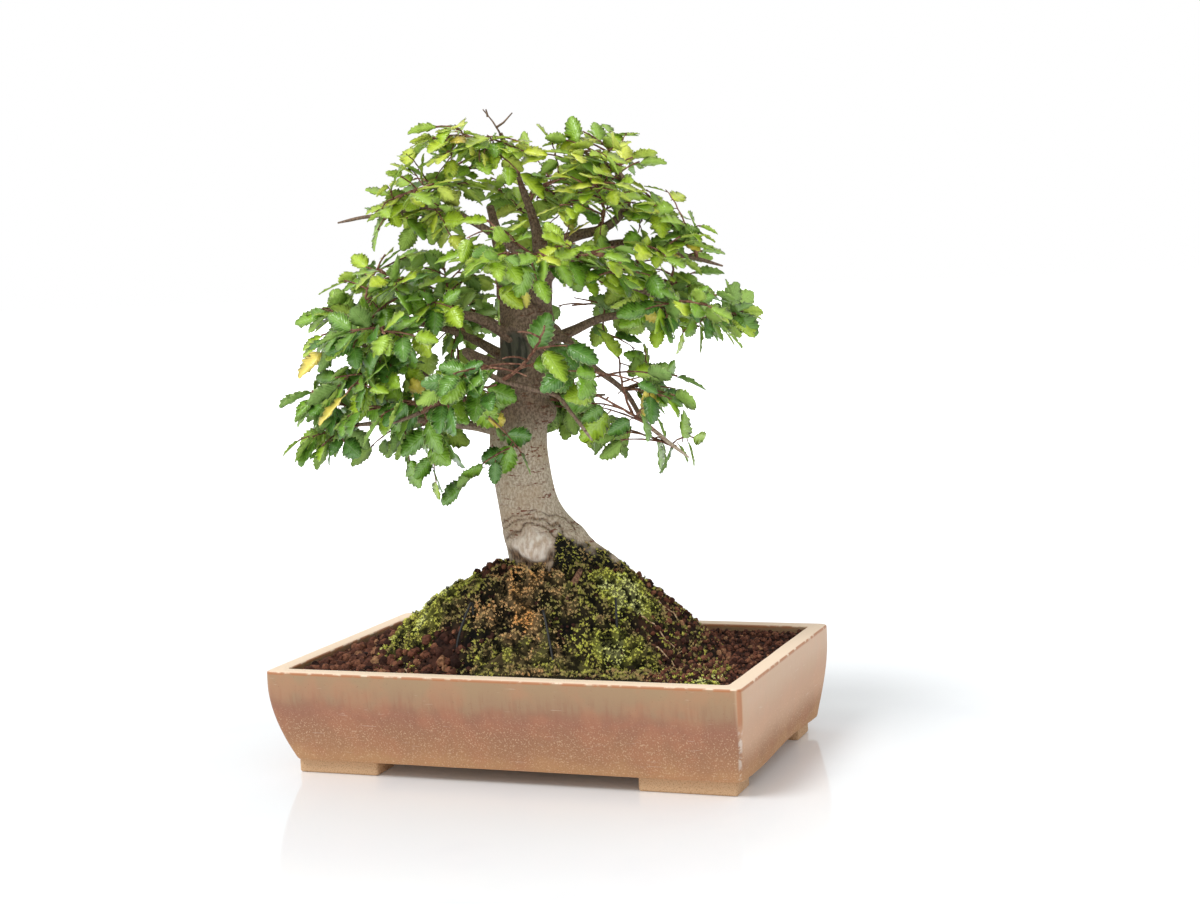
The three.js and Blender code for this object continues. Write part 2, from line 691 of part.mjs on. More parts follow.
function leafSlots(curve, steps, from, pitch, draw) {
  const slots = [];
  const length = curve.getLength() * (1 - from);
  const count = Math.max(2, Math.floor(length / pitch));
  const { outward, tilt, up, upSpread } = leaf.face;
  let side = draw() < 0.5 ? 1 : -1;
  for (let i = 0; i <= count; i += 1) {
    const u = (from + ((1 - from) * i) / count) * (1 - leaf.sunk / length);
    const at = stepPoint(curve, steps, u);
    const along = curve.getTangent(u);
    const face = at.clone().sub(heart).normalize().multiplyScalar(outward)
      .add(vec(draw(-tilt, tilt), draw(-tilt, tilt), up + draw(-upSpread, upSpread))).normalize();
    const across = along.clone().cross(face).normalize();
    const last = i === count;
    const forward = last ? 1 : draw(leaf.along.low, leaf.along.high);
    const aside = last ? draw(leaf.endAside.low, leaf.endAside.high) : draw(leaf.aside.low, leaf.aside.high);
    const out = along.clone().multiplyScalar(forward).addScaledVector(across, side * aside)
      .add(vec(0, 0, -draw(leaf.hang.low, leaf.hang.high))).normalize();
    face.addScaledVector(out, -face.dot(out)).normalize();
    slots.push({
      at, out, face, length: draw(leaf.shortest, leaf.longest), slim: draw(leaf.slim.low, leaf.slim.high),
    });
    side = -side;
  }
  return slots;
}

// The twigs of one spray, each with its leaf slots: the main twig first
function sprayTwigs(start, tip, seed) {
  const draw = drawer(seed);
  const way = tip.clone().sub(start.at);
  const length = way.length();
  const bend = start.at.clone().addScaledVector(start.along, sprig.alongBough * length)
    .addScaledVector(way, sprig.alongWay).add(vec(0, 0, sprig.rise * length));
  const main = new THREE.QuadraticBezierCurve3(start.at, bend, tip);
  const from = Math.max(sprig.first, 1 - sprig.zone / length);
  const twigs = [{
    curve: main, steps: sprig.mainSteps, slots: leafSlots(main, sprig.mainSteps, from, leaf.pitch, draw),
  }];
  let side = draw() < 0.5 ? 1 : -1;
  for (const share of sprig.shares) {
    const u = from + (1 - from) * share;
    const at = stepPoint(main, sprig.mainSteps, u);
    const along = main.getTangent(u);
    const across = along.clone().cross(vec(0, 0, 1)).normalize();
    const reach = draw(sprig.reach.low, sprig.reach.high) * (1 - sprig.reach.fade * share);
    const out = along.multiplyScalar(sprig.alongMain).addScaledVector(across, side * sprig.aside)
      .add(vec(0, 0, draw(sprig.lift.low, sprig.lift.high))).normalize();
    const end = at.clone().addScaledVector(out, reach)
      .add(vec(0, 0, -reach * draw(sprig.sag.low, sprig.sag.high)));
    const curve = new THREE.QuadraticBezierCurve3(at, at.clone().addScaledVector(out, reach / 2), end);
    twigs.push({ curve, steps: 1, slots: leafSlots(curve, 1, sprig.sideFirst, leaf.sidePitch, draw) });
    side = -side;
  }
  return twigs;
}

// A toothed blade with a ridge along its rib, whose narrow base is sunk in its twig
function leafBlade({ at, out, face, length, slim }) {
  const side = face.clone().cross(out);
  const half = (length * slim) / 2;
  const spot = (along, over, rise) => at.clone().addScaledVector(out, along * length)
    .addScaledVector(side, over).addScaledVector(face, rise);
  const edge = (sign) => teeth.map(([along, wide]) => spot(along, sign * wide * half,
    wide * leaf.fold - along * along * leaf.droop));
  const points = [spot(0, 0, 0), ...edge(1), spot(1, 0, -leaf.droop), ...edge(-1).reverse()];
  const n = points.length;
  points.push(spot(leaf.ridge, 0, leaf.thick / 2), spot(leaf.ridge, 0, -leaf.thick / 2));
  const triangles = [];
  for (let k = 0; k < n; k += 1) {
    const next = (k + 1) % n;
    triangles.push(n, next, k);
    triangles.push(n + 1, k, next);
  }
  return solid(closedGeometry(points, triangles));
}

// What is in place already, so that nothing crosses another piece
const placed = [];

function boxesMeet(a, b) {
  return [0, 1, 2].every((k) => a.min[k] - joinGap < b.max[k] && b.min[k] - joinGap < a.max[k]);
}

function isClear(body, mayTouch) {
  const box = body.boundingBox();
  return placed.every((other) => mayTouch(other) || !boxesMeet(box, other.box)
    || body.minGap(other.body, joinGap * 2) > joinGap);
}

function remember(body, owner, twig) {
  placed.push({ body, owner, twig, box: body.boundingBox() });
}

function bentSlots(slot) {
  return leafBends.map(([yaw, nod]) => {
    const side = slot.out.clone().cross(slot.face);
    const out = slot.out.clone().applyAxisAngle(slot.face, yaw).applyAxisAngle(side, nod);
    const face = slot.face.clone().applyAxisAngle(side, nod);
    return { ...slot, out, face };
  });
}

// A main twig that starts a little way along its curve, and a side twig from inside the main one
function mainStem(twig, skipped) {
  const first = skipped / twig.curve.getLength();
  const corners = [];
  for (let k = 0; k <= twig.steps; k += 1) {
    corners.push(stepPoint(twig.curve, twig.steps, Math.max(first, k / twig.steps)));
  }
  const radiusAt = (u) => sprig.mainRadius + (sprig.tipRadius - sprig.mainRadius) * u;
  return limb(smoothCurve(corners), radiusAt, sprig.mainSides, twig.steps);
}

function sideStem(twig) {
  const ends = smoothCurve([twig.curve.getPoint(0), twig.curve.getPoint(1)]);
  return limb(ends, () => sprig.sideRadius, sprig.sideSides, twig.steps);
}

// The main twig seated on its bough: it starts where it has just left the bark
function seatedStem(twig, tree) {
  for (let skipped = 0; skipped < sprig.seatSearch; skipped += sprig.seatStep) {
    const stem = mainStem(twig, skipped);
    if (stem.minGap(tree, 1) > 0) return stem;
  }
  return null;
}

// The twigs of a spray from the best spot that leaves its main twig clear of all other pieces
function rootedSpray(spots, tip, seed, owner, grownTree) {
  for (const start of bestSpots(spots, tip)) {
    const twigs = sprayTwigs(start, tip, seed);
    const stem = seatedStem(twigs[0], grownTree);
    if (stem && isClear(stem, (other) => other.owner === 'tree')) {
      markUsed(spots, start);
      remember(stem, owner, 0);
      const clearSides = [twigs[sprig.kept]].map((twig) => ({ ...twig, stem: sideStem(twig) }))
        .filter((twig) => isClear(twig.stem, (other) => other.owner === owner));
      clearSides.forEach((twig) => remember(twig.stem, owner, 1));
      return [{ ...twigs[0], stem }, ...clearSides];
    }
  }
  return [];
}

// The leaves of one twig that clear all other pieces, bent a little where they must be
function growLeaves(spray, order, slots, wanted) {
  const { owner } = spray;
  slots.forEach((slot, i) => {
    if (!wanted(i, i === slots.length - 1)) return;
    const blade = bentSlots(slot).map(leafBlade)
      .find((body) => isClear(body, (other) => other.owner === owner && other.twig === order));
    if (!blade) return;
    spray.bodies.push(blade);
    remember(blade, owner, 'leaf');
  });
}

function outerSpray(spots, tip, k, grownTree) {
  const owner = `spray_${String(k + 1).padStart(2, '0')}`;
  const twigs = rootedSpray(spots, tip, sprig.seed * (k + 1), owner, grownTree);
  const spray = { owner, tip, main: twigs[0]?.curve, bodies: twigs.map((twig) => twig.stem) };
  twigs.forEach((twig, order) => {
    growLeaves(spray, order, twig.slots, (i, last) => (
      last || (order === 0 && leaf.kept.includes((i + k) % leaf.thinned))
    ));
  });
  return spray;
}

// The main twigs that an inner branch may leave, best first: those about its length away from its tip
function innerStarts(sprays, tip) {
  return sprays.filter((spray) => spray.main && !spray.branched).flatMap((spray) => (
    innerTwig.shares.map((share) => {
      const at = stepPoint(spray.main, sprig.mainSteps, share);
      return { spray, share, at, cost: Math.abs(at.distanceTo(tip) - innerTwig.length) };
    })
  )).sort((a, b) => a.cost - b.cost).slice(0, innerTwig.tried);
}

function growInnerBranch(sprays, tip, k) {
  for (const { spray, share, at } of innerStarts(sprays, tip)) {
    const way = tip.clone().sub(at);
    const bend = at.clone().addScaledVector(spray.main.getTangent(share), innerTwig.alongMain * way.length())
      .addScaledVector(way, innerTwig.alongWay);
    const curve = new THREE.QuadraticBezierCurve3(at, bend, tip);
    const corners = [at, curve.getPoint(1 / innerTwig.steps), tip];
    const stem = limb(smoothCurve(corners), () => innerTwig.radius, innerTwig.sides, innerTwig.steps);
    if (isClear(stem, (other) => other.owner === spray.owner && other.twig === 0)) {
      const draw = drawer(innerTwig.seed * (k + 1));
      spray.branched = true;
      spray.bodies.push(stem);
      remember(stem, spray.owner, 'inner');
      growLeaves(spray, 'inner', leafSlots(curve, innerTwig.steps, innerTwig.first, leaf.pitch, draw),
        (i, last) => last || i % 2 === 0);
      return;
    }
  }
}

function makeSprays(grownTree) {
  remember(grownTree, 'tree', 0);
  const spots = boughSpots();
  const sprays = crownTips(tiers).map((tip, k) => outerSpray(spots, tip, k, grownTree));
  crownTips(innerTiers).forEach((tip, k) => growInnerBranch(sprays, tip, k));
  sprays.forEach(({ owner, tip, bodies }, k) => {
    const young = k % leaf.youngEvery === 0 || tip.z > leaf.youngAbove;
    if (bodies.length > 0) place(owner, fused(bodies), young ? leafYoung : leafGreen);
  });
}

makePot();
makeScreens();
makeTree();
const grownTree = treeBody(toolRoom);
const tools = [grownTree, ...makePins()];
makeMoss(makeGround(tools), tools);
makeSprays(grownTree);

// The group is moved so that the middle of its outline stands over the origin
const middle = new THREE.Box3().setFromObject(group).getCenter(vec(0, 0, 0));
group.position.set(-middle.x, -middle.y, 0);

export default group;
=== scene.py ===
import json
import math

import bmesh
import bpy
from mathutils import Matrix, Vector, noise
from mathutils.bvhtree import BVHTree


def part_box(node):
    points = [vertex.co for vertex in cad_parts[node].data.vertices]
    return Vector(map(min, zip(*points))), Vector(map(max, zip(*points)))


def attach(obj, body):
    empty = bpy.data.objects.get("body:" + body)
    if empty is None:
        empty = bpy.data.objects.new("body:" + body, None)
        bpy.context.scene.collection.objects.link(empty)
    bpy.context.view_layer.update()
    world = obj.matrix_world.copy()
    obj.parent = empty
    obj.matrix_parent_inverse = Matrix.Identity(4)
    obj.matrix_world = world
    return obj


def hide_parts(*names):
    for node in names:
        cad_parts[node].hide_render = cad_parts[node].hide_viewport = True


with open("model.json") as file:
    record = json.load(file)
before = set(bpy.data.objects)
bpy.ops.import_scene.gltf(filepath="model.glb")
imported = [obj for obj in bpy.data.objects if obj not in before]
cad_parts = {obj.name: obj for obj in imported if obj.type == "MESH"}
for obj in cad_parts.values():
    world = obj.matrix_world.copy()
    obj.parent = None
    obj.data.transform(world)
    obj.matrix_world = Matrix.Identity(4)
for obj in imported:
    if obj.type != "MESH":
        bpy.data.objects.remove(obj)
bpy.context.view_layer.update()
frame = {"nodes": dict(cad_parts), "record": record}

# The pieces are modelled in millimetres over the middle of the pot, and go to the frame when they are done
potLow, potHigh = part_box("pot")
potMiddle = ((potLow.x + potHigh.x) / 2, (potLow.y + potHigh.y) / 2, 0)
toFrame = Matrix.Translation(potMiddle) @ Matrix.Scale(0.001, 4)
frontTurn = math.radians(21)  # the tree's front against the pot's front
print("frame loaded")


# Seeded draws, curves and places
noise.seed_set(7)  # the noise vectors that bend the limbs take a new seed from the clock without this


def drawer(seed):
    state = [seed]

    def draw(low=0.0, high=1.0):
        state[0] = state[0] * 16807 % 2147483647
        return low + (high - low) * state[0] / 2147483647

    return draw


def seen(across, near, up):  # across as seen from the tree's front, towards the viewer, and up
    c, s = math.cos(frontTurn), math.sin(frontTurn)
    return Vector((across * c + near * s, across * s - near * c, up))


def fromFront(point):  # the other way round
    c, s = math.cos(frontTurn), math.sin(frontTurn)
    return point.x * c + point.y * s, point.x * s - point.y * c


def pointOn(points, u):  # a smooth curve through the points
    last = len(points) - 1
    way = min(max(u, 0), 1) * last
    k = min(int(way), last - 1)
    t = way - k
    p1, p2 = points[k], points[k + 1]
    p0 = points[k - 1] if k > 0 else p1 * 2 - p2
    p3 = points[k + 2] if k + 2 <= last else p2 * 2 - p1
    return ((p1 * 2) + (p2 - p0) * t + (p0 * 2 - p1 * 5 + p2 * 4 - p3) * t * t
            + (p1 * 3 - p0 - p2 * 3 + p3) * t * t * t) / 2


def bentPoint(ends, u):  # a quadratic bend from the first of three points to the last
    return ends[0] * (1 - u) ** 2 + ends[1] * 2 * u * (1 - u) + ends[2] * u * u


def tangentOf(curveAt, u):
    low, high = max(u - 0.0001, 0), min(u + 0.0001, 1)
    return (curveAt(high) - curveAt(low)).normalized()


def lengthOf(curveAt, steps=200):
    spots = [curveAt(k / steps) for k in range(steps + 1)]
    return sum((b - a).length for a, b in zip(spots, spots[1:]))


def stepPoint(curveAt, steps, u):  # a point on the straight steps of a twig
    k = min(int(u * steps), steps - 1)
    return curveAt(k / steps).lerp(curveAt((k + 1) / steps), u * steps - k)


def smoothStep(low, high, value):
    share = min(max((value - low) / (high - low), 0), 1)
    return share * share * (3 - 2 * share)


# Meshes: tubes, stamped copies and finished pieces
def tube(bm, path, radii, sides):
    along = (path[1] - path[0]).normalized()
    turn = along.to_track_quat("Z", "Y")
    placeAt = Matrix.Translation(path[0]) @ turn.to_matrix().to_4x4() @ Matrix.Scale(radii[0], 4)
    ring = bmesh.ops.create_circle(bm, cap_ends=True, segments=sides, radius=1, matrix=placeAt)["verts"]
    cap = ring[0].link_faces[0]
    for k in range(1, len(path)):
        ahead = (path[min(k + 1, len(path) - 1)] - path[k - 1]).normalized()
        turn = along.rotation_difference(ahead) @ turn
        along = ahead
        placeNext = Matrix.Translation(path[k]) @ turn.to_matrix().to_4x4() @ Matrix.Scale(radii[k], 4)
        grown = bmesh.ops.extrude_face_region(bm, geom=[cap] + cap.edges[:])["geom"]
        cap = next(item for item in grown if isinstance(item, bmesh.types.BMFace))
        bmesh.ops.transform(bm, matrix=placeNext @ placeAt.inverted(), verts=cap.verts)
        placeAt = placeNext


def stamp(bm, shape, matrix, tone=0.5):  # a copy of a small mesh, with its own tone
    copy = shape.copy()
    copy.transform(matrix)
    copy.attributes["tone"].data.foreach_set("value", [tone] * len(copy.vertices))
    bm.from_mesh(copy)
    bpy.data.meshes.remove(copy)


def newShape(layers=("tone",)):
    bm = bmesh.new()
    for name in layers:
        bm.verts.layers.float.new(name)
    bm.loops.layers.uv.new("leafUv")
    return bm


def asMesh(bm, name, smooth=True):
    mesh = bpy.data.meshes.new(name)
    bm.to_mesh(mesh)
    bm.free()
    mesh.polygons.foreach_set("use_smooth", [smooth] * len(mesh.polygons))
    return mesh


def pour(bm, other, index):  # all of another mesh, with one material of the piece
    for face in other.faces:
        face.material_index = index
    part = asMesh(other, "part")
    bm.from_mesh(part)
    bpy.data.meshes.remove(part)


def vertsOf(geometry):
    return [item for item in geometry if isinstance(item, bmesh.types.BMVert)]


def openEdges(bm):
    return [e for e in bm.edges if e.is_boundary]


def closeBelow(bm, lower):  # walls down from the open edge, set by a rule, and a floor
    for vert in vertsOf(bmesh.ops.extrude_edge_only(bm, edges=openEdges(bm))["geom"]):
        lower(vert)
    bmesh.ops.holes_fill(bm, edges=openEdges(bm), sides=0)
    bmesh.ops.recalc_face_normals(bm, faces=bm.faces)


def soften(bm, edges, offset, segments):
    bmesh.ops.bevel(bm, geom=edges, offset=offset, affect="EDGES", segments=segments, profile=0.5,
                    material=-1)


def stand(name, data):  # an object in the scene
    made = bpy.data.objects.new(name, data)
    bpy.context.scene.collection.objects.link(made)
    return made


def finishPiece(name, bm, materials, slot, replaced=(), smooth=True):
    bmesh.ops.transform(bm, matrix=toFrame, verts=bm.verts)
    mesh = asMesh(bm, name, smooth)
    for material in materials:
        mesh.materials.append(material)
    piece = stand(name, mesh)
    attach(piece, "root")
    if replaced:
        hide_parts(*replaced)


def finishSolid(name, bm, material, slot, replaced=()):  # a closed piece, its faces turned outwards
    bmesh.ops.recalc_face_normals(bm, faces=bm.faces)
    finishPiece(name, bm, [material], slot, replaced)


# Shader nodes
def feed(tree, socket, value):  # a link from another node's socket, or a fixed value
    if isinstance(value, bpy.types.NodeSocket):
        tree.links.new(value, socket)
    else:
        socket.default_value = value


def put(tree, kind, inputs=None, **settings):
    made = tree.nodes.new(kind)
    for key, value in settings.items():
        setattr(made, key, value)
    for key, value in (inputs or {}).items():
        feed(tree, made.inputs[key], value)
    return made


def blend(tree, mask, first, second):  # first where the mask is 0, second where it is 1
    return put(tree, "ShaderNodeMix", {0: mask, 6: first, 7: second}, data_type="RGBA").outputs[2]


def combine(tree, operation, first, second):
    return put(tree, "ShaderNodeMath", {0: first, 1: second}, operation=operation).outputs[0]


def times(tree, first, second):
    return combine(tree, "MULTIPLY", first, second)


def between(tree, value, low, high):  # 0 under low, 1 over high
    made = put(tree, "ShaderNodeMapRange", {"Value": value, "From Min": low, "From Max": high},
               interpolation_type="SMOOTHSTEP")
    return made.outputs[0]


def colour(red, green, blue):  # from display values to the shader's
    return tuple((v / 12.92 if v <= 0.04045 else ((v + 0.055) / 1.055) ** 2.4)
                 for v in (red / 255, green / 255, blue / 255)) + (1.0,)


def ramp(tree, value, stops):  # stops of a place and its display colour
    made = put(tree, "ShaderNodeValToRGB", {0: value})
    spots = made.color_ramp.elements
    while len(spots) < len(stops):
        spots.new(0.5)
    for spot, (place, hue) in zip(spots, stops):
        spot.position = place
        spot.color = colour(*hue)
    return made.outputs[0]


def twoTone(tree, mask, hues):
    return blend(tree, mask, colour(*hues[0]), colour(*hues[1]))


def tint(tree, shade, mask, share, hue):  # a colour over the shade, as strong as the mask and the share
    return blend(tree, times(tree, mask, share), shade, colour(*hue))


def painted(tree, name):  # a value that the mesh carries
    return put(tree, "ShaderNodeAttribute", attribute_name=name).outputs["Fac"]


def cloud(tree, vector, scale, detail):
    made = put(tree, "ShaderNodeTexNoise", {"Vector": vector, "Scale": scale, "Detail": detail})
    return made.outputs["Fac"]


def newGroup(name, values, output):  # a node group that takes a vector and some values, and gives one value
    group = bpy.data.node_groups.new(name, "ShaderNodeTree")
    group.interface.new_socket("Vector", in_out="INPUT", socket_type="NodeSocketVector")
    for label, value in values.items():
        socket = group.interface.new_socket(label, in_out="INPUT", socket_type="NodeSocketFloat")
        socket.default_value = value
    group.interface.new_socket(output, in_out="OUTPUT", socket_type="NodeSocketFloat")
    return group, put(group, "NodeGroupInput").outputs, put(group, "NodeGroupOutput").inputs[output]


def makePatches():  # soft spots of a noise: 0 outside them, 1 inside
    group, given, out = newGroup("patches", {"Scale": 100.0, "Detail": 3.0, "Low": 0.45, "High": 0.6}, "Mask")
    spots = cloud(group, given["Vector"], given["Scale"], given["Detail"])
    group.links.new(between(group, spots, given["Low"], given["High"]), out)
    return group


def makeGrain():  # a fine relief of two noises
    group, given, out = newGroup("grain", {"Coarse": 200.0, "Fine": 900.0, "Fine Share": 0.4}, "Height")
    coarse = cloud(group, given["Vector"], given["Coarse"], 3.0)
    fine = cloud(group, given["Vector"], given["Fine"], 2.0)
    group.links.new(combine(group, "ADD", coarse, times(group, fine, given["Fine Share"])), out)
    return group


patchGroup = makePatches()
grainGroup = makeGrain()


def patches(tree, vector, scale, detail, low, high):
    values = {"Vector": vector, "Scale": scale, "Detail": detail, "Low": low, "High": high}
    return put(tree, "ShaderNodeGroup", values, node_tree=patchGroup).outputs["Mask"]


def grain(tree, vector, coarse, fine, fineShare):
    values = {"Vector": vector, "Coarse": coarse, "Fine": fine, "Fine Share": fineShare}
    return put(tree, "ShaderNodeGroup", values, node_tree=grainGroup).outputs["Height"]


def newMaterial(name, **fixed):  # the material, its Principled shader, and Object coordinates
    material = bpy.data.materials.new(name)
    material.use_nodes = True
    tree = material.node_tree
    shader = tree.nodes["Principled BSDF"]
    for key, value in fixed.items():
        shader.inputs[key.replace("_", " ")].default_value = value
    place = put(tree, "ShaderNodeTexCoord").outputs["Object"]
    return material, tree, shader, place


def giveColour(tree, shader, shade):
    tree.links.new(shade, shader.inputs["Base Color"])


def relief(tree, shader, height, strength, distance):
    made = put(tree, "ShaderNodeBump", {"Height": height, "Strength": strength, "Distance": distance})
    tree.links.new(made.outputs["Normal"], shader.inputs["Normal"])


def stretched(tree, place, x, y, z):
    return put(tree, "ShaderNodeMapping", {"Vector": place, "Scale": (x, y, z)}).outputs["Vector"]


def heightOf(tree, place):
    return put(tree, "ShaderNodeSeparateXYZ", {0: place}).outputs["Z"]


# The pot: a rounded block whose sides swell and draw in, hollowed, on four block feet
pot = {
    "half": (161, 104), "height": 71.3, "belly": 62, "bottom": 9.6, "corner": 5, "wall": 11.6, "floor": 18,
    "taper": {"left": 11, "right": 6.5, "front": 16, "back": 9}, "taperPower": 1.7,
    "foot": {"outX": 150.3, "outY": 83.6, "left": 57, "right": 64, "depth": 26, "sunk": 4, "round": 1.6},
    "drainX": 72, "drainRadius": 9,
    "lip": 1.5, "keel": 1.2, "cells": 13, "wobble": 0.35, "wobblePitch": 34,
    "sag": {"height": 1.2, "pitch": 26, "shift": 0.6, "over": (120, 158), "above": 8},
}


def drawnIn(z):
    share = (pot["belly"] - z) / (pot["belly"] - pot["bottom"])
    return 0 if share <= 0 else min(share, 1.1) ** pot["taperPower"]


def wallShape(point):  # a point of the straight block moved to the swelling wall
    taper = pot["taper"]
    drawn = drawnIn(point.z)
    insetX = drawn * (taper["left"] if point.x < 0 else taper["right"])
    insetY = drawn * (taper["front"] if point.y < 0 else taper["back"])
    halfX, halfY = pot["half"]
    wave = noise.noise(point / pot["wobblePitch"]) * pot["wobble"]
    sag = pot["sag"]  # the lower edge of the right side waves
    low = smoothStep(pot["bottom"] + sag["above"], pot["bottom"], point.z)
    wavy = math.sin(point.y / sag["pitch"] + sag["shift"]) * smoothStep(*sag["over"], point.x)
    dip = low * sag["height"] * wavy
    return Vector((point.x * (1 - (insetX + wave) / halfX), point.y * (1 - (insetY + wave) / halfY),
                   point.z + dip))


def cutAcross(bm, axis, spots):
    normal = Vector((0, 0, 0))
    normal[axis] = 1
    for spot in spots:
        geometry = bm.verts[:] + bm.edges[:] + bm.faces[:]
        bmesh.ops.bisect_plane(bm, geom=geometry, plane_co=normal * spot, plane_no=normal)


def isLevel(item, z):
    return all(abs(v.co.z - z) < 0.01 for v in item.verts)


def flatFace(bm, z):  # the widest face at a height
    return max((f for f in bm.faces if isLevel(f, z)), key=lambda f: f.calc_area())


def roundCorners(bm, halfX, radius):  # rounds the four upright edges at one distance from the middle
    upright = [e for e in bm.edges if abs(e.verts[0].co.z - e.verts[1].co.z) > 1
               and abs(abs(e.verts[0].co.x) - halfX) < 0.01]
    soften(bm, upright, radius, 5)


def fillAround(bm, face, rings):  # the face again, with the rings left open in it
    edges = list(face.edges) + rings
    bmesh.ops.delete(bm, geom=[face], context="FACES_ONLY")
    bmesh.ops.triangle_fill(bm, edges=edges, use_beauty=True)


def openDrains(bm):  # two round holes through the bottom
    low, floor = pot["bottom"], pot["floor"]
    rings = []
    for side in (-1, 1):
        spot = Matrix.Translation((side * pot["drainX"], 0, low))
        ring = bmesh.ops.create_circle(bm, segments=24, radius=pot["drainRadius"], matrix=spot)["verts"]
        rings += list({e for v in ring for e in v.link_edges})
    walls = bmesh.ops.extrude_edge_only(bm, edges=rings)["geom"]
    raised = vertsOf(walls)
    bmesh.ops.translate(bm, vec=(0, 0, floor - low), verts=raised)
    upper = [e for e in bm.edges if all(v in raised for v in e.verts)]
    fillAround(bm, flatFace(bm, low), rings)
    fillAround(bm, flatFace(bm, floor), upper)


def inDrain(point):
    return math.hypot(abs(point.x) - pot["drainX"], point.y) < pot["drainRadius"] + 0.1


def makePot(material):
    bm = bmesh.new()
    halfX, halfY = pot["half"]
    low, high, wall = pot["bottom"], pot["height"], pot["wall"]
    block = Matrix.Diagonal((halfX * 2, halfY * 2, high - low, 1))
    bmesh.ops.create_cube(bm, size=1, matrix=Matrix.Translation((0, 0, (low + high) / 2)) @ block)
    mouth = flatFace(bm, high)
    bmesh.ops.inset_region(bm, faces=[mouth], thickness=wall, use_even_offset=True)
    grown = bmesh.ops.extrude_face_region(bm, geom=[mouth] + mouth.edges[:])["geom"]
    bmesh.ops.translate(bm, vec=(0, 0, pot["floor"] - high), verts=vertsOf(grown))
    roundCorners(bm, halfX, pot["corner"])
    roundCorners(bm, halfX - wall, pot["corner"] / 2)
    soften(bm, [e for e in bm.edges if isLevel(e, high) and e.calc_face_angle(0) > 1], pot["lip"], 3)
    soften(bm, list(flatFace(bm, low).edges), pot["keel"], 2)
    openDrains(bm)
    cutAcross(bm, 2, [low + 2 + k * (high - low - 5) / 11 for k in range(12)])
    for axis, half in ((0, 11), (1, 7)):
        cutAcross(bm, axis, [k * pot["cells"] for k in range(-half, half + 1)])
    for vert in bm.verts:
        if not inDrain(vert.co):
            vert.co = wallShape(vert.co)
    for side in (-1, 1):
        for end in (-1, 1):
            makeFoot(bm, side, end)
    finishSolid("pot_stoneware", bm, material, "clay", ["pot"])


def makeFoot(bm, side, end):
    foot = pot["foot"]
    length = foot["left"] if side < 0 else foot["right"]
    high = pot["bottom"] + foot["sunk"]
    centre = Vector((side * (foot["outX"] - length / 2), end * (foot["outY"] - foot["depth"] / 2), high / 2))
    block = Matrix.Translation(centre) @ Matrix.Diagonal((length, foot["depth"], high, 1))
    made = bmesh.ops.create_cube(bm, size=1, matrix=block)["verts"]
    soften(bm, list({e for v in made for e in v.link_edges}), foot["round"], 3)


# The finish of the stoneware: heights in metres, and display colours
glaze = {
    "uneven": 0.022, "spread": (0.008, 0.0725),
    "bands": [(0.0, (190, 142, 98)), (0.10, (174, 126, 90)), (0.3, (164, 117, 86)), (0.6, (158, 108, 84)),
              (0.7, (156, 112, 86)), (0.8, (160, 126, 96)), (1.0, (164, 134, 100))],
    "streaked": ((0.022, 0.046), (0.066, 0.056)), "streak": (146, 96, 72), "blotch": (190, 126, 92),
    "speckled": (0.055, 0.03), "speckle": (228, 196, 160), "dots": (110, 66, 46),
    "side": (0.156, 0.1595), "paleSide": (232, 194, 162),
    "rim": (0.0700, 0.0708), "rimClay": (246, 222, 196), "lip": (0.0688, 0.0700), "lipTilt": (0.93, 0.7),
    "rust": (176, 108, 62), "corner": (0.3, 0.46), "brushed": (0.040, 0.052), "brush": (178, 108, 62),
    "bloomed": (0.050, 0.040), "bloom": (232, 222, 210), "rub": (232, 216, 200),
    "foot": (0.0102, 0.0088), "footClay": (212, 174, 134), "sand": (170, 124, 80),
    "satin": {"From Min": 0.04, "From Max": 0.06, "To Min": 0.72, "To Max": 0.46}, "rawRim": 0.3,
}


def glazeBody(tree, place, height):  # bands of glaze that run into each other, streaked and speckled
    drift = cloud(tree, stretched(tree, place, 42, 42, 12), 1.0, 4.0)
    uneven = times(tree, combine(tree, "SUBTRACT", drift, 0.5), glaze["uneven"])
    body = ramp(tree, between(tree, combine(tree, "ADD", height, uneven), *glaze["spread"]), glaze["bands"])
    streaks = patches(tree, stretched(tree, place, 420, 420, 26), 1.0, 3.0, 0.42, 0.66)
    middle = times(tree, *(between(tree, height, *span) for span in glaze["streaked"]))
    body = tint(tree, body, times(tree, streaks, middle), 0.3, glaze["streak"])
    body = tint(tree, body, patches(tree, place, 46.0, 4.0, 0.44, 0.66), 0.3, glaze["blotch"])
    speckled = between(tree, height, *glaze["speckled"])
    speckle = times(tree, patches(tree, place, 1000.0, 2.0, 0.56, 0.66), speckled)
    body = tint(tree, body, speckle, 0.5, glaze["speckle"])
    return tint(tree, body, patches(tree, place, 900.0, 1.0, 0.70, 0.76), 0.35, glaze["dots"])


def cornerGlaze(tree, place, height, facing, body):  # rust down the front right corner, and a pale bloom
    outward = times(tree, facing.outputs["X"], times(tree, facing.outputs["Y"], -1.0))
    corner = between(tree, outward, *glaze["corner"])
    brushed = times(tree, corner, between(tree, height, *glaze["brushed"]))
    body = tint(tree, body, brushed, 0.7, glaze["brush"])
    bloom = times(tree, corner, between(tree, height, *glaze["bloomed"]))
    bloom = times(tree, bloom, patches(tree, place, 300.0, 4.0, 0.4, 0.6))
    return tint(tree, body, bloom, 0.6, glaze["bloom"])


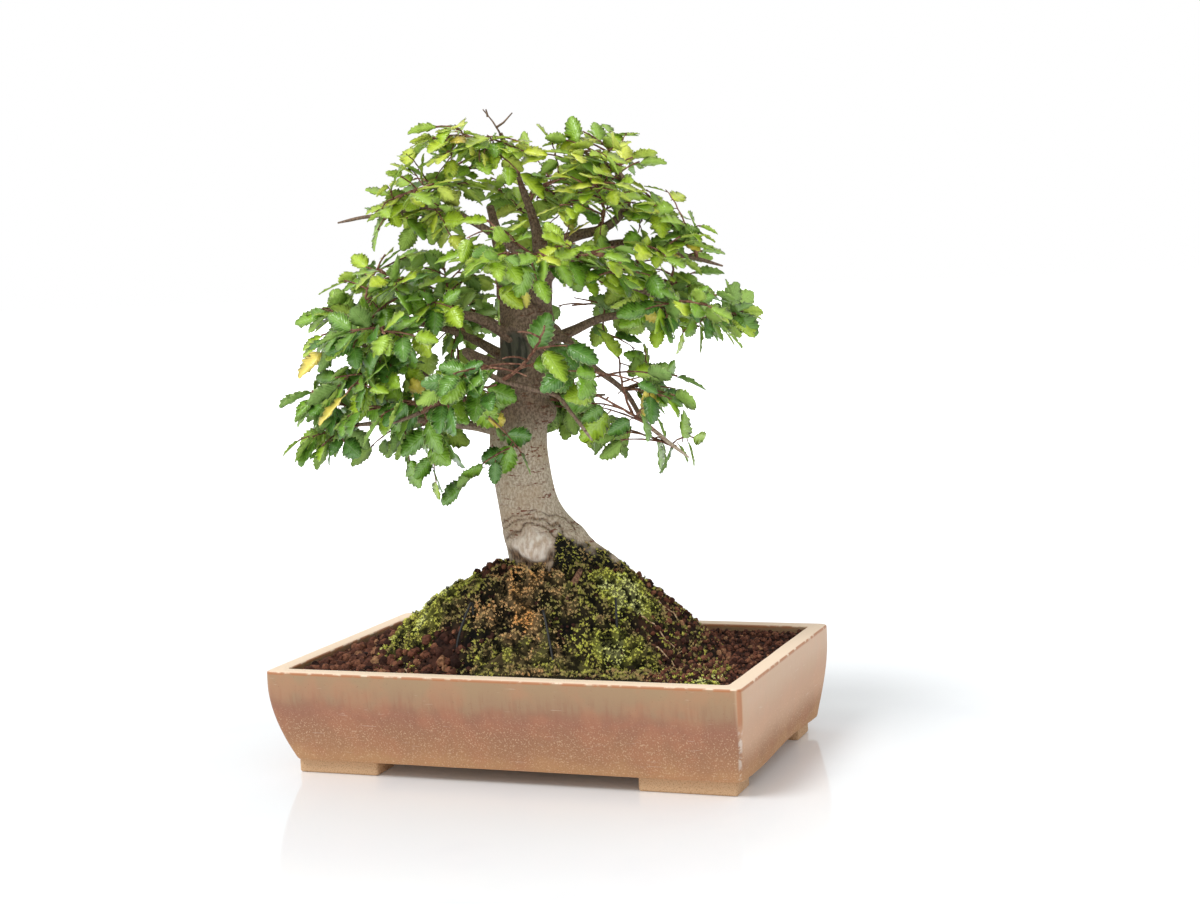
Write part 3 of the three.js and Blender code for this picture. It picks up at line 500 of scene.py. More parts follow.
def clayMaterial():
    material, tree, shader, place = newMaterial("stoneware")
    height = heightOf(tree, place)
    body = glazeBody(tree, place, height)
    across = put(tree, "ShaderNodeSeparateXYZ", {0: place}).outputs["X"]
    body = tint(tree, body, between(tree, across, *glaze["side"]), 0.6, glaze["paleSide"])
    rimTop = between(tree, height, *glaze["rim"])
    body = blend(tree, rimTop, body, colour(*glaze["rimClay"]))
    facing = put(tree, "ShaderNodeSeparateXYZ", {0: put(tree, "ShaderNodeNewGeometry").outputs["Normal"]})
    level = between(tree, facing.outputs["Z"], *glaze["lipTilt"])
    lip = times(tree, between(tree, height, *glaze["lip"]), level)
    body = tint(tree, body, times(tree, lip, patches(tree, place, 130.0, 4.0, 0.36, 0.5)), 0.8, glaze["rust"])
    body = cornerGlaze(tree, place, height, facing, body)
    rubs = patches(tree, stretched(tree, place, 60, 60, 900), 1.0, 2.0, 0.7, 0.74)
    body = tint(tree, body, rubs, 0.3, glaze["rub"])
    feet = between(tree, height, *glaze["foot"])
    body = blend(tree, feet, body, colour(*glaze["footClay"]))
    sand = times(tree, patches(tree, place, 1100.0, 2.0, 0.5, 0.64), feet)
    giveColour(tree, shader, tint(tree, body, sand, 0.6, glaze["sand"]))
    rough = put(tree, "ShaderNodeMapRange", {"Value": height, **glaze["satin"]}).outputs[0]
    feed(tree, shader.inputs["Roughness"], combine(tree, "ADD", rough, times(tree, rimTop, glaze["rawRim"])))
    relief(tree, shader, grain(tree, place, 260.0, 1300.0, 0.5), 0.35, 0.0006)
    return material


# Soil: level in the tray, heaped under the trunk, lumpy and crumbed
ground = {
    "level": 66.3, "halfX": 148.2, "halfY": 91.2, "low": 19, "insetX": 9, "insetY": 15, "cells": (148, 91),
    "grain": 1.1, "grainPitch": 9, "crumb": 0.9, "clump": 5.0, "clumpPitch": 8.5, "clumpEdge": (0.25, 0.8),
}
mound = {
    "x": 4, "y": -2, "turn": 0.22, "height": 66, "left": 128, "right": 112, "front": 80, "back": 78,
    "power": 1.2, "lump": 2.4, "lumpPitch": 26, "fade": 3,
}


def lumps(x, y, pitch):
    turn = 2 * math.pi
    return (math.sin(x * turn / pitch + 1.7 * math.sin(y * turn / (pitch * 1.37)))
            * math.cos(y * turn / (pitch * 0.83) + 1.3 * math.sin(x * turn / (pitch * 1.61))))


def heap(x, y):
    c, s = math.cos(mound["turn"]), math.sin(mound["turn"])
    across = (x - mound["x"]) * c + (y - mound["y"]) * s
    back = -(x - mound["x"]) * s + (y - mound["y"]) * c
    reachX = mound["left"] if across < 0 else mound["right"]
    reachY = mound["front"] if back < 0 else mound["back"]
    far = (across / reachX) ** 2 + (back / reachY) ** 2
    return 0 if far >= 1 else (1 - far) ** mound["power"]


# Where moss covers the mound: spans across and near of the tree's front, and how much of the ground it hides
mossCover = [
    ((-62, 62), (16, 130), 1.0), ((-98, -56), (-8, 40), 0.8), ((-126, -90), (-6, 50), 0.45),
    ((58, 106), (-24, 112), 0.5), ((-44, 78), (-66, 20), 0.5),
]


def within(value, span, fade):
    low, high = span
    return smoothStep(low - fade, low + fade, value) * smoothStep(high + fade, high - fade, value)


def mossAt(x, y):
    across, near = fromFront(Vector((x, y, 0)))
    ragged = 14 * noise.noise(Vector((x, y, 21)) / 17)
    return max(share * within(across + ragged, spanAcross, 9) * within(near + ragged, spanNear, 9)
               for spanAcross, spanNear, share in mossCover)


def clumpAt(x, y):  # 0 in the gaps between clumps of moss, 1 on top of them
    return min(1, 3.4 * abs(noise.noise(Vector((x, y, 4)) / ground["clumpPitch"])))


def surface(x, y):
    rise = heap(x, y)
    lumpy = mound["lump"] * lumps(x, y, mound["lumpPitch"]) * min(1, rise * mound["fade"])
    clumpy = mossAt(x, y) * ground["clump"] * clumpAt(x, y) ** 0.7
    return (ground["level"] + mound["height"] * rise + lumpy + clumpy
            + ground["grain"] * lumps(x, y, ground["grainPitch"]))


def surfaceNormal(x, y):
    step = 1.5
    slopeX = (surface(x + step, y) - surface(x - step, y)) / (2 * step)
    slopeY = (surface(x, y + step) - surface(x, y - step)) / (2 * step)
    return Vector((-slopeX, -slopeY, 1)).normalized()


def makeSoil(material):
    bm = newShape(("cover", "clump"))
    coverLayer, clumpLayer = (bm.verts.layers.float[name] for name in ("cover", "clump"))
    cellsX, cellsY = ground["cells"]
    bmesh.ops.create_grid(bm, x_segments=cellsX, y_segments=cellsY, size=1)
    for vert in bm.verts:
        x, y = vert.co.x * ground["halfX"], vert.co.y * ground["halfY"]
        crumb = noise.noise(Vector((x, y, 0)) / 3.1) + 0.6 * noise.noise(Vector((x, y, 7)) / 1.5)
        vert[coverLayer] = mossAt(x, y)
        # the clump value places the painted shade under the moss, darkest in the gaps between clumps
        vert[clumpLayer] = smoothStep(*ground["clumpEdge"], clumpAt(x, y))
        vert.co = Vector((x, y, surface(x, y) + ground["crumb"] * crumb))

    def lower(vert):
        vert.co.x *= 1 - ground["insetX"] / ground["halfX"]
        vert.co.y *= 1 - ground["insetY"] / ground["halfY"]
        vert.co.z = ground["low"]

    closeBelow(bm, lower)
    finishPiece("soil_bed", bm, [material], "soil", ["soil"])


# Crumbs: baked clay granules, chunkier at the left front and finer at the right
crumbs = {
    "pitch": 4.8, "jitter": 2.1, "left": (1.9, 4.1), "right": (1.2, 2.4), "power": 1.5, "sunk": 0.3,
    "seed": 1301,
    "dust": {"pitch": 5.2, "size": (0.6, 0.7), "sunk": 0.9, "seed": 977},
    # the gaps crumbs lie between the moss clumps and take only the darkest tones: painted shade in the gaps
    "gaps": {"pitch": 3.4, "size": (0.9, 1.3), "sunk": 0.4, "seed": 983, "clump": 0.36, "cover": 0.3,
             "light": 0.2},
    "bare": {"spots": 0.8, "cover": 0.6, "heap": 0.9},  # none in moss that is deeper than this
}


def crumbShape(level, seed):
    bm = newShape()
    bmesh.ops.create_icosphere(bm, subdivisions=level, radius=1)
    for vert in bm.verts:
        push = 1 + 0.34 * noise.noise(vert.co * 1.3 + Vector((seed, 0, 0))) \
            + 0.16 * noise.noise(vert.co * 3.1 + Vector((0, seed, 0)))
        vert.co = vert.co * push
        vert.co.z *= 0.82
    return asMesh(bm, f"crumb{level}{seed}", smooth=False)


def squaredFar(at, half, across, near):  # from the middle of a spot, 1 at its edge
    return ((across - at[0]) / half[0]) ** 2 + ((near - at[1]) / half[1]) ** 2


def overMoss(x, y):  # how deep in a moss spot a place lies: over 1 is outside all of them
    across, near = fromFront(Vector((x, y, 0)))
    return min(squaredFar(spot["at"], spot["half"], across, near) for spot in mossSpots.values())


def scatterCrumbs(bm, shapes, pitch, jitter, sizeAt, sunk, draw, keepsOut, lightest=1.0):
    halfX, halfY = ground["halfX"] - 2.2, ground["halfY"] - 2.2
    countX, countY = int(2 * halfX / pitch), int(2 * halfY / pitch)
    for j in range(countY + 1):
        for i in range(countX + 1):
            x = -halfX + 2 * halfX * (i + (j % 2) / 2) / countX + draw(-jitter, jitter)
            y = -halfY + 2 * halfY * j / countY + draw(-jitter, jitter)
            turns = (draw(0, 6.28), draw(0, 6.28), draw(0, 6.28))
            size, tone, pick = sizeAt(x, draw()), draw(0, lightest), int(draw(0, len(shapes) - 0.001))
            if abs(x) > halfX or abs(y) > halfY or keepsOut(x, y):
                continue
            lean = Matrix.Rotation(turns[0], 4, "X") @ Matrix.Rotation(turns[1], 4, "Y") \
                @ Matrix.Rotation(turns[2], 4, "Z")
            spot = Matrix.Translation((x, y, surface(x, y) + size * sunk))
            stamp(bm, shapes[pick], spot @ lean @ Matrix.Scale(size, 4), tone)


def makeCrumbs(material):
    coarse = [crumbShape(2, seed) for seed in (3, 11, 23)]
    fine = [crumbShape(1, seed) for seed in (5, 17)]
    dust, gaps, bare = crumbs["dust"], crumbs["gaps"], crumbs["bare"]

    def coarseSize(x, share):
        weight = smoothStep(-60, 60, x)
        low, high = (a * (1 - weight) + b * weight for a, b in zip(crumbs["left"], crumbs["right"]))
        return low + (high - low) * share ** crumbs["power"]

    def inMoss(x, y):
        return overMoss(x, y) < bare["spots"] or mossAt(x, y) > bare["cover"] or heap(x, y) > bare["heap"]

    def offGaps(x, y):
        return mossAt(x, y) < gaps["cover"] or clumpAt(x, y) > gaps["clump"]

    for name, sign in (("soil_crumbs_left", -1), ("soil_crumbs_right", 1)):
        bm = newShape()
        scatterCrumbs(bm, coarse, crumbs["pitch"], crumbs["jitter"], coarseSize, crumbs["sunk"],
                      drawer(crumbs["seed"] + sign), lambda x, y: x * sign < 0 or inMoss(x, y))
        finishPiece(name, bm, [material], "soil", smooth=False)
    bm = newShape()
    for kind, keepsOut in ((dust, inMoss), (gaps, offGaps)):
        low, more = kind["size"]
        scatterCrumbs(bm, fine, kind["pitch"], kind["pitch"] / 2, lambda x, share: low + more * share,
                      kind["sunk"], drawer(kind["seed"]), keepsOut, kind.get("light", 1.0))
    finishPiece("soil_crumbs_fine", bm, [material], "soil", smooth=False)


# The finish of the soil: its granules from dark to light, their pores, the bed, and painted shade on the
# ground under the moss
soilLook = {
    "granules": [(0.0, (34, 20, 16)), (0.22, (84, 52, 42)), (0.4, (102, 64, 50)), (0.7, (122, 76, 58)),
                 (0.92, (146, 98, 74)), (1.0, (176, 132, 96))],
    # The ground under the moss is painted shade: near-black in the gaps between clumps, dark olive under the
    # clumps
    "pores": (46, 28, 24), "bed": ((38, 24, 20), (74, 46, 36)), "underMossShade": ((7, 6, 4), (42, 36, 21)),
}


def soilMaterial(name, granules):
    material, tree, shader, place = newMaterial(name, Roughness=0.9, Specular_IOR_Level=0.15)
    if granules:
        shade = ramp(tree, painted(tree, "tone"), soilLook["granules"])
        shade = tint(tree, shade, patches(tree, place, 500.0, 4.0, 0.4, 0.62), 0.55, soilLook["pores"])
    else:
        shade = twoTone(tree, patches(tree, place, 180.0, 4.0, 0.42, 0.62), soilLook["bed"])
        # painted shade where moss covers the ground, darkest between the clumps
        shadeUnderMoss = twoTone(tree, painted(tree, "clump"), soilLook["underMossShade"])
        shade = blend(tree, painted(tree, "cover"), shade, shadeUnderMoss)
    giveColour(tree, shader, shade)
    relief(tree, shader, grain(tree, place, 700.0, 2400.0, 0.5), 0.8, 0.0008)
    return material


# Moss: cushions of short shoots that lie on the soil, and shoots strewn between them
mossSpots = {
    "moss_left_ridge": {"at": (-78, 14), "half": (37, 20), "slot": "moss_green"},
    "moss_crown": {"at": (-13, 43), "half": (34, 15), "slot": "moss_brown"},
    "moss_centre": {"at": (-14, 72), "half": (33, 15), "slot": "moss_green"},
    "moss_right_slope": {"at": (50, 34), "half": (24, 16), "slot": "moss_bright"},
    "moss_front_cushion": {"at": (45, 68), "half": (24, 13), "slot": "moss_bright"},
    "moss_rim_cushion": {"at": (90, 121), "half": (12, 6), "slot": "moss_bright"},
    "moss_back": {"at": (4, -48), "half": (36, 17), "slot": "moss_green"},
}
moss = {
    "pitch": 1.6, "high": 4.4, "shoot": (1.5, 3.4), "ragged": 0.15, "frayed": 0.09, "cells": (40, 24),
    "reach": 1.2, "bump": 0.8, "bumpPitch": 2.2, "buried": 2.5, "skirt": 4, "sunk": 0.4, "fringe": 0.12,
    # baseTip and clumpEdge set how far the painted shade on a cushion's sheet lifts on top of the clumps
    "baseShare": 0.4, "baseTip": 0.11, "clumpEdge": (0.2, 0.8), "gap": 0.22, "seed": 5003, "palest": 0.94,
}
carpet = {
    "pitch": 1.65, "low": (-125, -70), "span": (240, 200), "patch": 0.35, "patchPitch": 9,
    "gap": (0.16, 0.26), "spots": 0.75, "size": (0.7, 0.4), "rise": 0.2, "rim": 3, "seed": 8111,
}


# Patches of colour in the moss: place, half size, and how far they turn to orange (below 0) or bright green
mossZones = [((-20, 36), (26, 16), -0.42), ((-16, 58), (10, 8), -0.5), ((46, 40), (18, 12), 0.7),
             ((38, 72), (17, 8), 0.5), ((98, 112), (20, 14), 0.5), ((-80, 8), (32, 20), 0.42),
             ((100, 20), (24, 20), 0.1)]


def mossTone(across, near, share):  # 0 orange-brown, 0.5 dark olive, 1 pale green
    tone = 0.48 + 0.34 * noise.noise(Vector((across, near, 5)) / 8) + 0.3 * (share - 0.5)
    for at, half, turn in mossZones:
        tone += turn * math.exp(-squaredFar(at, half, across, near))
    return min(max(tone, 0), moss["palest"])


def shootShape(seed, spikes, spread):  # a tuft of stubby three-sided shoots, with 1 at their tips
    bm = newShape(("tone", "tip"))
    draw = drawer(seed)
    for k in range(spikes):
        lean = 0.1 if k == 0 else draw(0.35, spread)
        high = draw(0.75, 1.15) if k == 0 else draw(0.5, 0.9)
        tilt = Matrix.Rotation(k * 2.4 + draw(0, 0.8), 4, "Z") @ Matrix.Rotation(lean, 4, "Y")
        spot = tilt @ Matrix.Translation((0, 0, high / 2 - 0.15))
        bmesh.ops.create_cone(bm, cap_ends=True, segments=3, radius1=draw(0.17, 0.25), radius2=0, depth=high,
                              matrix=spot)
    tipLayer = bm.verts.layers.float["tip"]
    for vert in bm.verts:
        # tip is 0 at a shoot's foot, where the moss's finish paints shade, and 1 at its tip
        vert[tipLayer] = smoothStep(-0.1, 0.8, vert.co.length)
    return asMesh(bm, f"shoot{seed}", smooth=False)


def plantShoot(bm, shapes, point, normal, size, tone, draw):
    turn = Matrix.Rotation(draw(0, 6.28), 4, "Z")
    up = (normal + Vector((0, 0, 0.6))).normalized().to_track_quat("Z", "Y").to_matrix().to_4x4()
    pick = int(draw(0, len(shapes) - 0.001))
    stamp(bm, shapes[pick], Matrix.Translation(point) @ up @ turn @ Matrix.Scale(size, 4), tone)


def farFrom(spot, across, other):  # 0 in the middle of a spot, 1 at its edge
    return math.hypot((across - spot["at"][0]) / spot["half"][0], (other - spot["at"][1]) / spot["half"][1])


def cushionRise(spot, across, near):  # how far out a place of a cushion is, and how high it stands there
    angle = math.atan2(near - spot["at"][1], across - spot["at"][0])
    ragged = 1 + moss["ragged"] * math.sin(3 * angle + spot["at"][0]) + moss["frayed"] * math.sin(4 * angle)
    far = farFrom(spot, across, near) / ragged
    lumpy = 0.75 + 0.5 * noise.noise(Vector((across, near, 3)) / 7)
    return far, moss["high"] * lumpy * max(0, 1 - far ** 3) ** 0.5


def cushionBase(bm, spot):  # a lumpy sheet that dives under the soil at its rim
    cellsX, cellsY = moss["cells"]
    bmesh.ops.create_grid(bm, x_segments=cellsX, y_segments=cellsY, size=moss["reach"])
    toneLayer, tipLayer = (bm.verts.layers.float[label] for label in ("tone", "tip"))
    for vert in list(bm.verts):
        across = spot["at"][0] + vert.co.x * spot["half"][0]
        near = spot["at"][1] + vert.co.y * spot["half"][1]
        far, rise = cushionRise(spot, across, near)
        point = seen(across, near, 0)
        bumps = moss["bump"] * noise.noise(Vector((across, near, 0)) / moss["bumpPitch"])
        vert[toneLayer] = mossTone(across, near, moss["baseShare"])
        # painted shade: the sheet under the shoots takes a tip value near 0, so it is painted almost all in
        # shade, a little less on top of the clumps
        vert[tipLayer] = moss["baseTip"] * smoothStep(*moss["clumpEdge"], clumpAt(point.x, point.y))
        point.z = surface(point.x, point.y) + (rise + bumps if far < 1 else -moss["buried"])
        vert.co = point

    def lower(vert):
        vert.co.z -= moss["skirt"]

    closeBelow(bm, lower)


def makeCushion(name, spot, shapes, material, number):
    bm = newShape(("tone", "tip"))
    cushionBase(bm, spot)
    draw = drawer(moss["seed"] + 31 * number)
    lowX, lowY = (at - moss["reach"] * half for at, half in zip(spot["at"], spot["half"]))
    countX, countY = (int(2 * moss["reach"] * half / moss["pitch"]) for half in spot["half"])
    for j in range(countY):
        for i in range(countX):
            across = lowX + (i + draw()) * moss["pitch"]
            near = lowY + (j + draw()) * moss["pitch"]
            size, share = draw(*moss["shoot"]), draw()
            far, rise = cushionRise(spot, across, near)
            point = seen(across, near, 0)
            fringe = 1 + moss["fringe"] * (share - 0.3)
            if far > fringe or clumpAt(point.x, point.y) < moss["gap"] * draw():
                continue
            point.z = surface(point.x, point.y) + rise - moss["sunk"]
            normal = surfaceNormal(point.x, point.y)
            plantShoot(bm, shapes, point, normal, size, mossTone(across, near, share), draw)
    finishPiece(name + "_shoots", bm, [material], spot["slot"], [name], smooth=False)


def makeCarpet(shapes, material):  # shoots between the cushions, over the mound and down to the front rim
    bm = newShape(("tone", "tip"))
    draw = drawer(carpet["seed"])
    pitch = carpet["pitch"]
    (lowX, lowY), (spanX, spanY) = carpet["low"], carpet["span"]
    limitX, limitY = ground["halfX"] - carpet["rim"], ground["halfY"] - carpet["rim"]
    gapLeast, gapMore = carpet["gap"]
    sizeLeast, sizeMore = carpet["size"]
    for j in range(int(spanY / pitch)):
        for i in range(int(spanX / pitch)):
            across = lowX + (i + draw()) * pitch
            near = lowY + (j + draw()) * pitch
            size, share, chance = draw(*moss["shoot"]), draw(), draw()
            point = seen(across, near, 0)
            patchy = carpet["patch"] * noise.noise(Vector((across, near, 11)) / carpet["patchPitch"])
            covered = mossAt(point.x, point.y) * (1 + patchy)
            if chance > covered or abs(point.x) > limitX or abs(point.y) > limitY:
                continue
            clump = clumpAt(point.x, point.y)
            if overMoss(point.x, point.y) < carpet["spots"] or clump < gapLeast + gapMore * draw():
                continue
            point.z = surface(point.x, point.y) + carpet["rise"]
            normal, grown = surfaceNormal(point.x, point.y), size * (sizeLeast + sizeMore * clump)
            plantShoot(bm, shapes, point, normal, grown, mossTone(across, near, share), draw)
    finishPiece("moss_carpet", bm, [material], "moss_green", smooth=False)


# Moss on the foot of the trunk: how high it climbs, by place across
mossClimb = [(-60, 96), (-34, 113), (-4, 113), (2, 132), (6, 152), (20, 143), (30, 136), (46, 130), (60, 120),
             (90, 98)]
trunkMoss = {
    "below": 158, "size": (1.6, 3.2), "share": 0.22, "sunk": 0.3, "steepest": -0.4, "soft": 2.5, "seed": 6101,
    "ragged": 5, "raggedPitch": 7, "front": 2, "back": 114, "backSlope": 0.25,
}


def climbAt(across):
    for (a, low), (b, high) in zip(mossClimb, mossClimb[1:]):
        if across <= b:
            return low + (high - low) * smoothStep(0, 1, (across - a) / (b - a))
    return mossClimb[-1][1]


def mossyBark(point):  # 1 where moss covers the foot of the trunk
    across, near = fromFront(point)
    ragged = trunkMoss["ragged"] * noise.noise(point / trunkMoss["raggedPitch"])
    atBack = trunkMoss["back"] - trunkMoss["backSlope"] * abs(across)
    top = climbAt(across) if near > trunkMoss["front"] else atBack
    return smoothStep(top + trunkMoss["soft"], top - trunkMoss["soft"], point.z + ragged)


def makeTrunkMoss(shapes, material, barkSpots):
    bm = newShape(("tone", "tip"))
    draw = drawer(trunkMoss["seed"])
    for point, normal in barkSpots:
        size, share, chance = draw(*trunkMoss["size"]), draw(), draw()
        if chance > trunkMoss["share"] * mossyBark(point) or normal.z < trunkMoss["steepest"]:
            continue
        tone = mossTone(*fromFront(point), share)
        plantShoot(bm, shapes, point - normal * trunkMoss["sunk"], normal, size, tone, draw)
    finishPiece("moss_on_trunk", bm, [material], "moss_green", smooth=False)


# The finish of the moss: orange-brown to pale green, with painted shade at the foot of each shoot and in
# patches between the shoots
mossLook = {
    "tones": [(0.0, (255, 200, 128)), (0.14, (244, 200, 142)), (0.3, (214, 184, 130)),
              (0.48, (168, 158, 100)), (0.64, (214, 210, 108)), (0.82, (246, 250, 122)),
              (1.0, (255, 255, 190))],
    # deep is the near-black of painted shade; tipFrom is where a shoot's painted shade gives way to its
    # colour
    "deep": (9, 8, 4), "tipFrom": (-0.04, 0.56),
}


def mossMaterial():
    material, tree, shader, place = newMaterial("moss", Roughness=0.9, Specular_IOR_Level=0.08)
    shade = ramp(tree, painted(tree, "tone"), mossLook["tones"])
    # painted shade: each shoot darkens towards its foot, as if shaded by the shoots round it
    lit = between(tree, painted(tree, "tip"), *mossLook["tipFrom"])
    shade = blend(tree, lit, colour(*mossLook["deep"]), shade)
    # painted shade: dark patches between the clumps
    shade = tint(tree, shade, patches(tree, place, 150.0, 4.0, 0.52, 0.62), 0.86, mossLook["deep"])
    giveColour(tree, shader, shade)
    relief(tree, shader, grain(tree, place, 900.0, 2600.0, 0.5), 0.7, 0.0006)
    return material


# The tree's limbs: across, near and up of each point, with the radii at its ends
trunk = {
    "points": [(8, -4, 84), (6, -2, 116), (1, 0, 133), (-4, 1, 143), (-9, 1, 155), (-13, 1, 170),
               (-16, 0, 190), (-17.5, 0, 210), (-14.5, -1, 238), (-10, -2, 262), (-9.5, -2, 282),
               (-9, -2, 298)],
    "radii": [31, 31, 28.5, 25.5, 22, 19.6, 19, 19, 18.6, 17, 16.5, 13],
}
boughs = {
    "leader": ((9, 5.5), [(-2, -2, 284), (1, -1, 305), (4, 0, 324), (5, -2, 338)]),
    "left_leader": ((8, 3), [(-15, -4, 280), (-21, -6, 302), (-22, -12, 322), (-26, -22, 344),
                             (-30, -30, 366)]),
    "left_low": ((6.5, 2.2), [(-14, 2, 222), (-38, 6, 230), (-62, 14, 244), (-80, 20, 258), (-98, 22, 272),
                              (-122, 18, 282)]),
    "left_foot": ((4, 1.6), [(-20, 2, 216), (-52, -4, 222), (-84, -10, 226), (-116, -14, 224)]),
    "left_mid": ((4.2, 1.5), [(-14, 4, 276), (-38, 12, 292), (-62, 18, 296), (-88, 22, 290),
                              (-112, 18, 282)]),
    "left_high": ((4, 1.1), [(4, 0, 322), (-14, 6, 336), (-35, 10, 352), (-63, 14, 365), (-90, 14, 363),
                             (-119, 8, 359)]),
    "left_back": ((4, 1.5), [(-18, -8, 262), (-44, -30, 276), (-72, -52, 286), (-98, -66, 288)]),
    "top": ((4.6, 1.2), [(4, -2, 334), (0, -6, 352), (-6, -8, 372), (-12, -4, 392), (-19, 0, 412)]),
    "top_right": ((4.4, 1.2), [(5, -1, 334), (22, 6, 342), (46, 12, 348), (60, 14, 360), (61, 12, 373),
                               (52, 8, 386), (37, 4, 395)]),
    "right_mid": ((5, 1.8), [(4, 0, 318), (20, 6, 328), (34, 10, 328), (53, 14, 314), (72, 16, 304),
                             (88, 16, 296)]),
    "right_high": ((3.4, 1.2), [(28, 8, 329), (48, 4, 336), (72, 0, 336), (96, 0, 328), (113, 2, 322)]),
    "right_low": ((3.4, 1.2), [(0, 8, 270), (13, 20, 279), (26, 28, 268), (38, 32, 256), (54, 36, 242),
                               (66, 38, 222), (86, 38, 204)]),
    "right_back": ((4.4, 1.5), [(-2, -10, 270), (22, -28, 280), (48, -46, 288), (78, -60, 288),
                                (100, -66, 280)]),
    "back": ((5, 1.8), [(-10, -12, 252), (-14, -38, 264), (-16, -66, 274), (-18, -94, 278)]),
    "back_high": ((4, 1.3), [(-2, -6, 296), (4, -24, 312), (8, -46, 328), (6, -66, 342)]),
    "back_foot": ((3.8, 1.4), [(-16, -12, 222), (-10, -38, 230), (10, -60, 234), (34, -76, 232)]),
    "front_low": ((3, 1.1), [(-20, 12, 258), (-38, 30, 268), (-46, 46, 272), (-28, 56, 256), (-2, 60, 248),
                             (12, 62, 242), (26, 64, 222)]),
    "front_high": ((3.4, 1.1), [(0, 6, 302), (4, 22, 314), (10, 44, 322), (6, 68, 330)]),
    "front_left": ((3.2, 1.2), [(-22, 10, 230), (-40, 32, 238), (-60, 54, 240), (-84, 68, 234)]),
}
roots = {
    "right": ((13, 3), [(20, 4, 128), (40, 4, 120), (58, 2, 106), (74, 0, 94), (92, -4, 80)]),
    "right_back": ((10, 3), [(20, -12, 122), (38, -26, 108), (54, -40, 92), (66, -50, 76)]),
    "left_back": ((10, 3), [(-4, -12, 120), (-22, -28, 110), (-40, -42, 94), (-54, -50, 78)]),
    "front": ((9, 3), [(16, 14, 122), (24, 30, 112), (30, 46, 96), (34, 58, 80)]),
}
knobs = [((-40, 4, 231), (8, 8, 9)), ((2, 6, 229), (7, 8, 8)), ((8, 2, 279), (7, 7, 8))]
wound = {"at": (-16, 268), "half": (12, 18), "lip": 2.4, "dish": 2.2, "near": 6}
scar = {
    "at": (-10, 142), "half": (14, 11.5), "bulge": 1.8, "fold": 0.8, "folds": 17, "edge": 1.6, "torn": 0.85,
    "ragged": 0.34, "raggedPitch": 7,
}
wood = {
    "voxel": 1.15, "thick": 4.5, "boughPower": 0.7, "flare": 0.45, "flareOver": 14, "swell": 0.09,
    "swellPitch": 9, "wander": 0.9, "wanderPitch": 17, "flute": 0.5, "fibre": 0.12, "tip": 9,
}


def limbPath(points, radii, power, step, seed):  # a limb with small bends and swellings
    spots = [seen(*point) for point in points]
    length = lengthOf(lambda u: pointOn(spots, u), 40)
    count = max(6, round(length / step))
    path, sizes = [], []
    for k in range(count + 1):
        u = k / count
        point = pointOn(spots, u)
        drift = noise.noise_vector(point / wood["wanderPitch"] + Vector((seed, 0, 0))) * wood["wander"]
        flare = 1 + wood["flare"] * math.exp(-u * length / wood["flareOver"])
        swell = 1 + wood["swell"] * noise.noise(Vector((u * length / wood["swellPitch"], seed, 0)))
        path.append(point + drift * smoothStep(0, 0.2, u))
        sizes.append((radii[0] + (radii[1] - radii[0]) * u ** power) * flare * swell)
    return path, sizes


def trunkPath(step):
    spots = [seen(*point) for point in trunk["points"]]
    radii = [Vector((radius, 0, 0)) for radius in trunk["radii"]]
    count = round(lengthOf(lambda u: pointOn(spots, u), 40) / step)
    return ([pointOn(spots, k / count) for k in range(count + 1)],
            [pointOn(radii, k / count).x for k in range(count + 1)])


def isThick(radii):
    return radii[0] > wood["thick"]


def heavyWood():  # trunk, roots, stubs and thick boughs joined into one skin
    bm = bmesh.new()
    path, radii = trunkPath(4)
    tube(bm, path, radii, 40)
    for number, (radii, points) in enumerate(boughs.values()):
        if isThick(radii):
            path, sizes = limbPath(points, radii, wood["boughPower"], 5, number)
            tube(bm, path, sizes, 14)
    for number, (radii, points) in enumerate(roots.values()):
        path, sizes = limbPath(points, radii, 1, 6, 40 + number)
        tube(bm, path, sizes, 14)
    for (across, near, up), size in knobs:
        spot = Matrix.Translation(seen(across, near, up)) @ Matrix.Diagonal((*size, 1))
        bmesh.ops.create_icosphere(bm, subdivisions=3, radius=1, matrix=spot)
    bmesh.ops.recalc_face_normals(bm, faces=bm.faces)
    rough = stand("heavyWood", asMesh(bm, "heavyWood"))
    skin = rough.modifiers.new("skin", "REMESH")
    skin.mode = "VOXEL"
    skin.voxel_size = wood["voxel"]
    whole = rough.evaluated_get(bpy.context.evaluated_depsgraph_get())
    joined = bmesh.new()
    joined.from_mesh(whole.to_mesh())
    whole.to_mesh_clear()
    bpy.data.objects.remove(rough)
    for turn in range(3):
        bmesh.ops.smooth_vert(joined, verts=joined.verts, factor=0.5, use_axis_x=True, use_axis_y=True,
                              use_axis_z=True)
    return joined


def woundPush(point, far):  # a raised lip round a shallow dish
    lip = math.exp(-((far - 0.95) / 0.22) ** 2) * wound["lip"] * (0.7 + 0.5 * noise.noise(point / 8))
    return lip - wound["dish"] * smoothStep(0.9, 0.55, far)


def scarPush(point, far):  # a bulge with folds round it and a torn lower edge, and how torn the bark is there
    low = smoothStep(2, -5, point.z - scar["at"][1])
    bulge = scar["bulge"] * smoothStep(1.15, 0.25, far)
    wave = math.cos(far * scar["folds"])
    fold = scar["fold"] * wave * smoothStep(2.2, 1.4, far) * smoothStep(0.8, 1.0, far) * (1 - low)
    edge = math.exp(-((far - 1.0) / 0.32) ** 2) * low
    groove = smoothStep(0.3, 0.95, -wave) * within(far, (1.0, 2.1), 0.15) * (1 - low)
    return bulge + fold - scar["edge"] * edge, max(edge, scar["torn"] * groove)


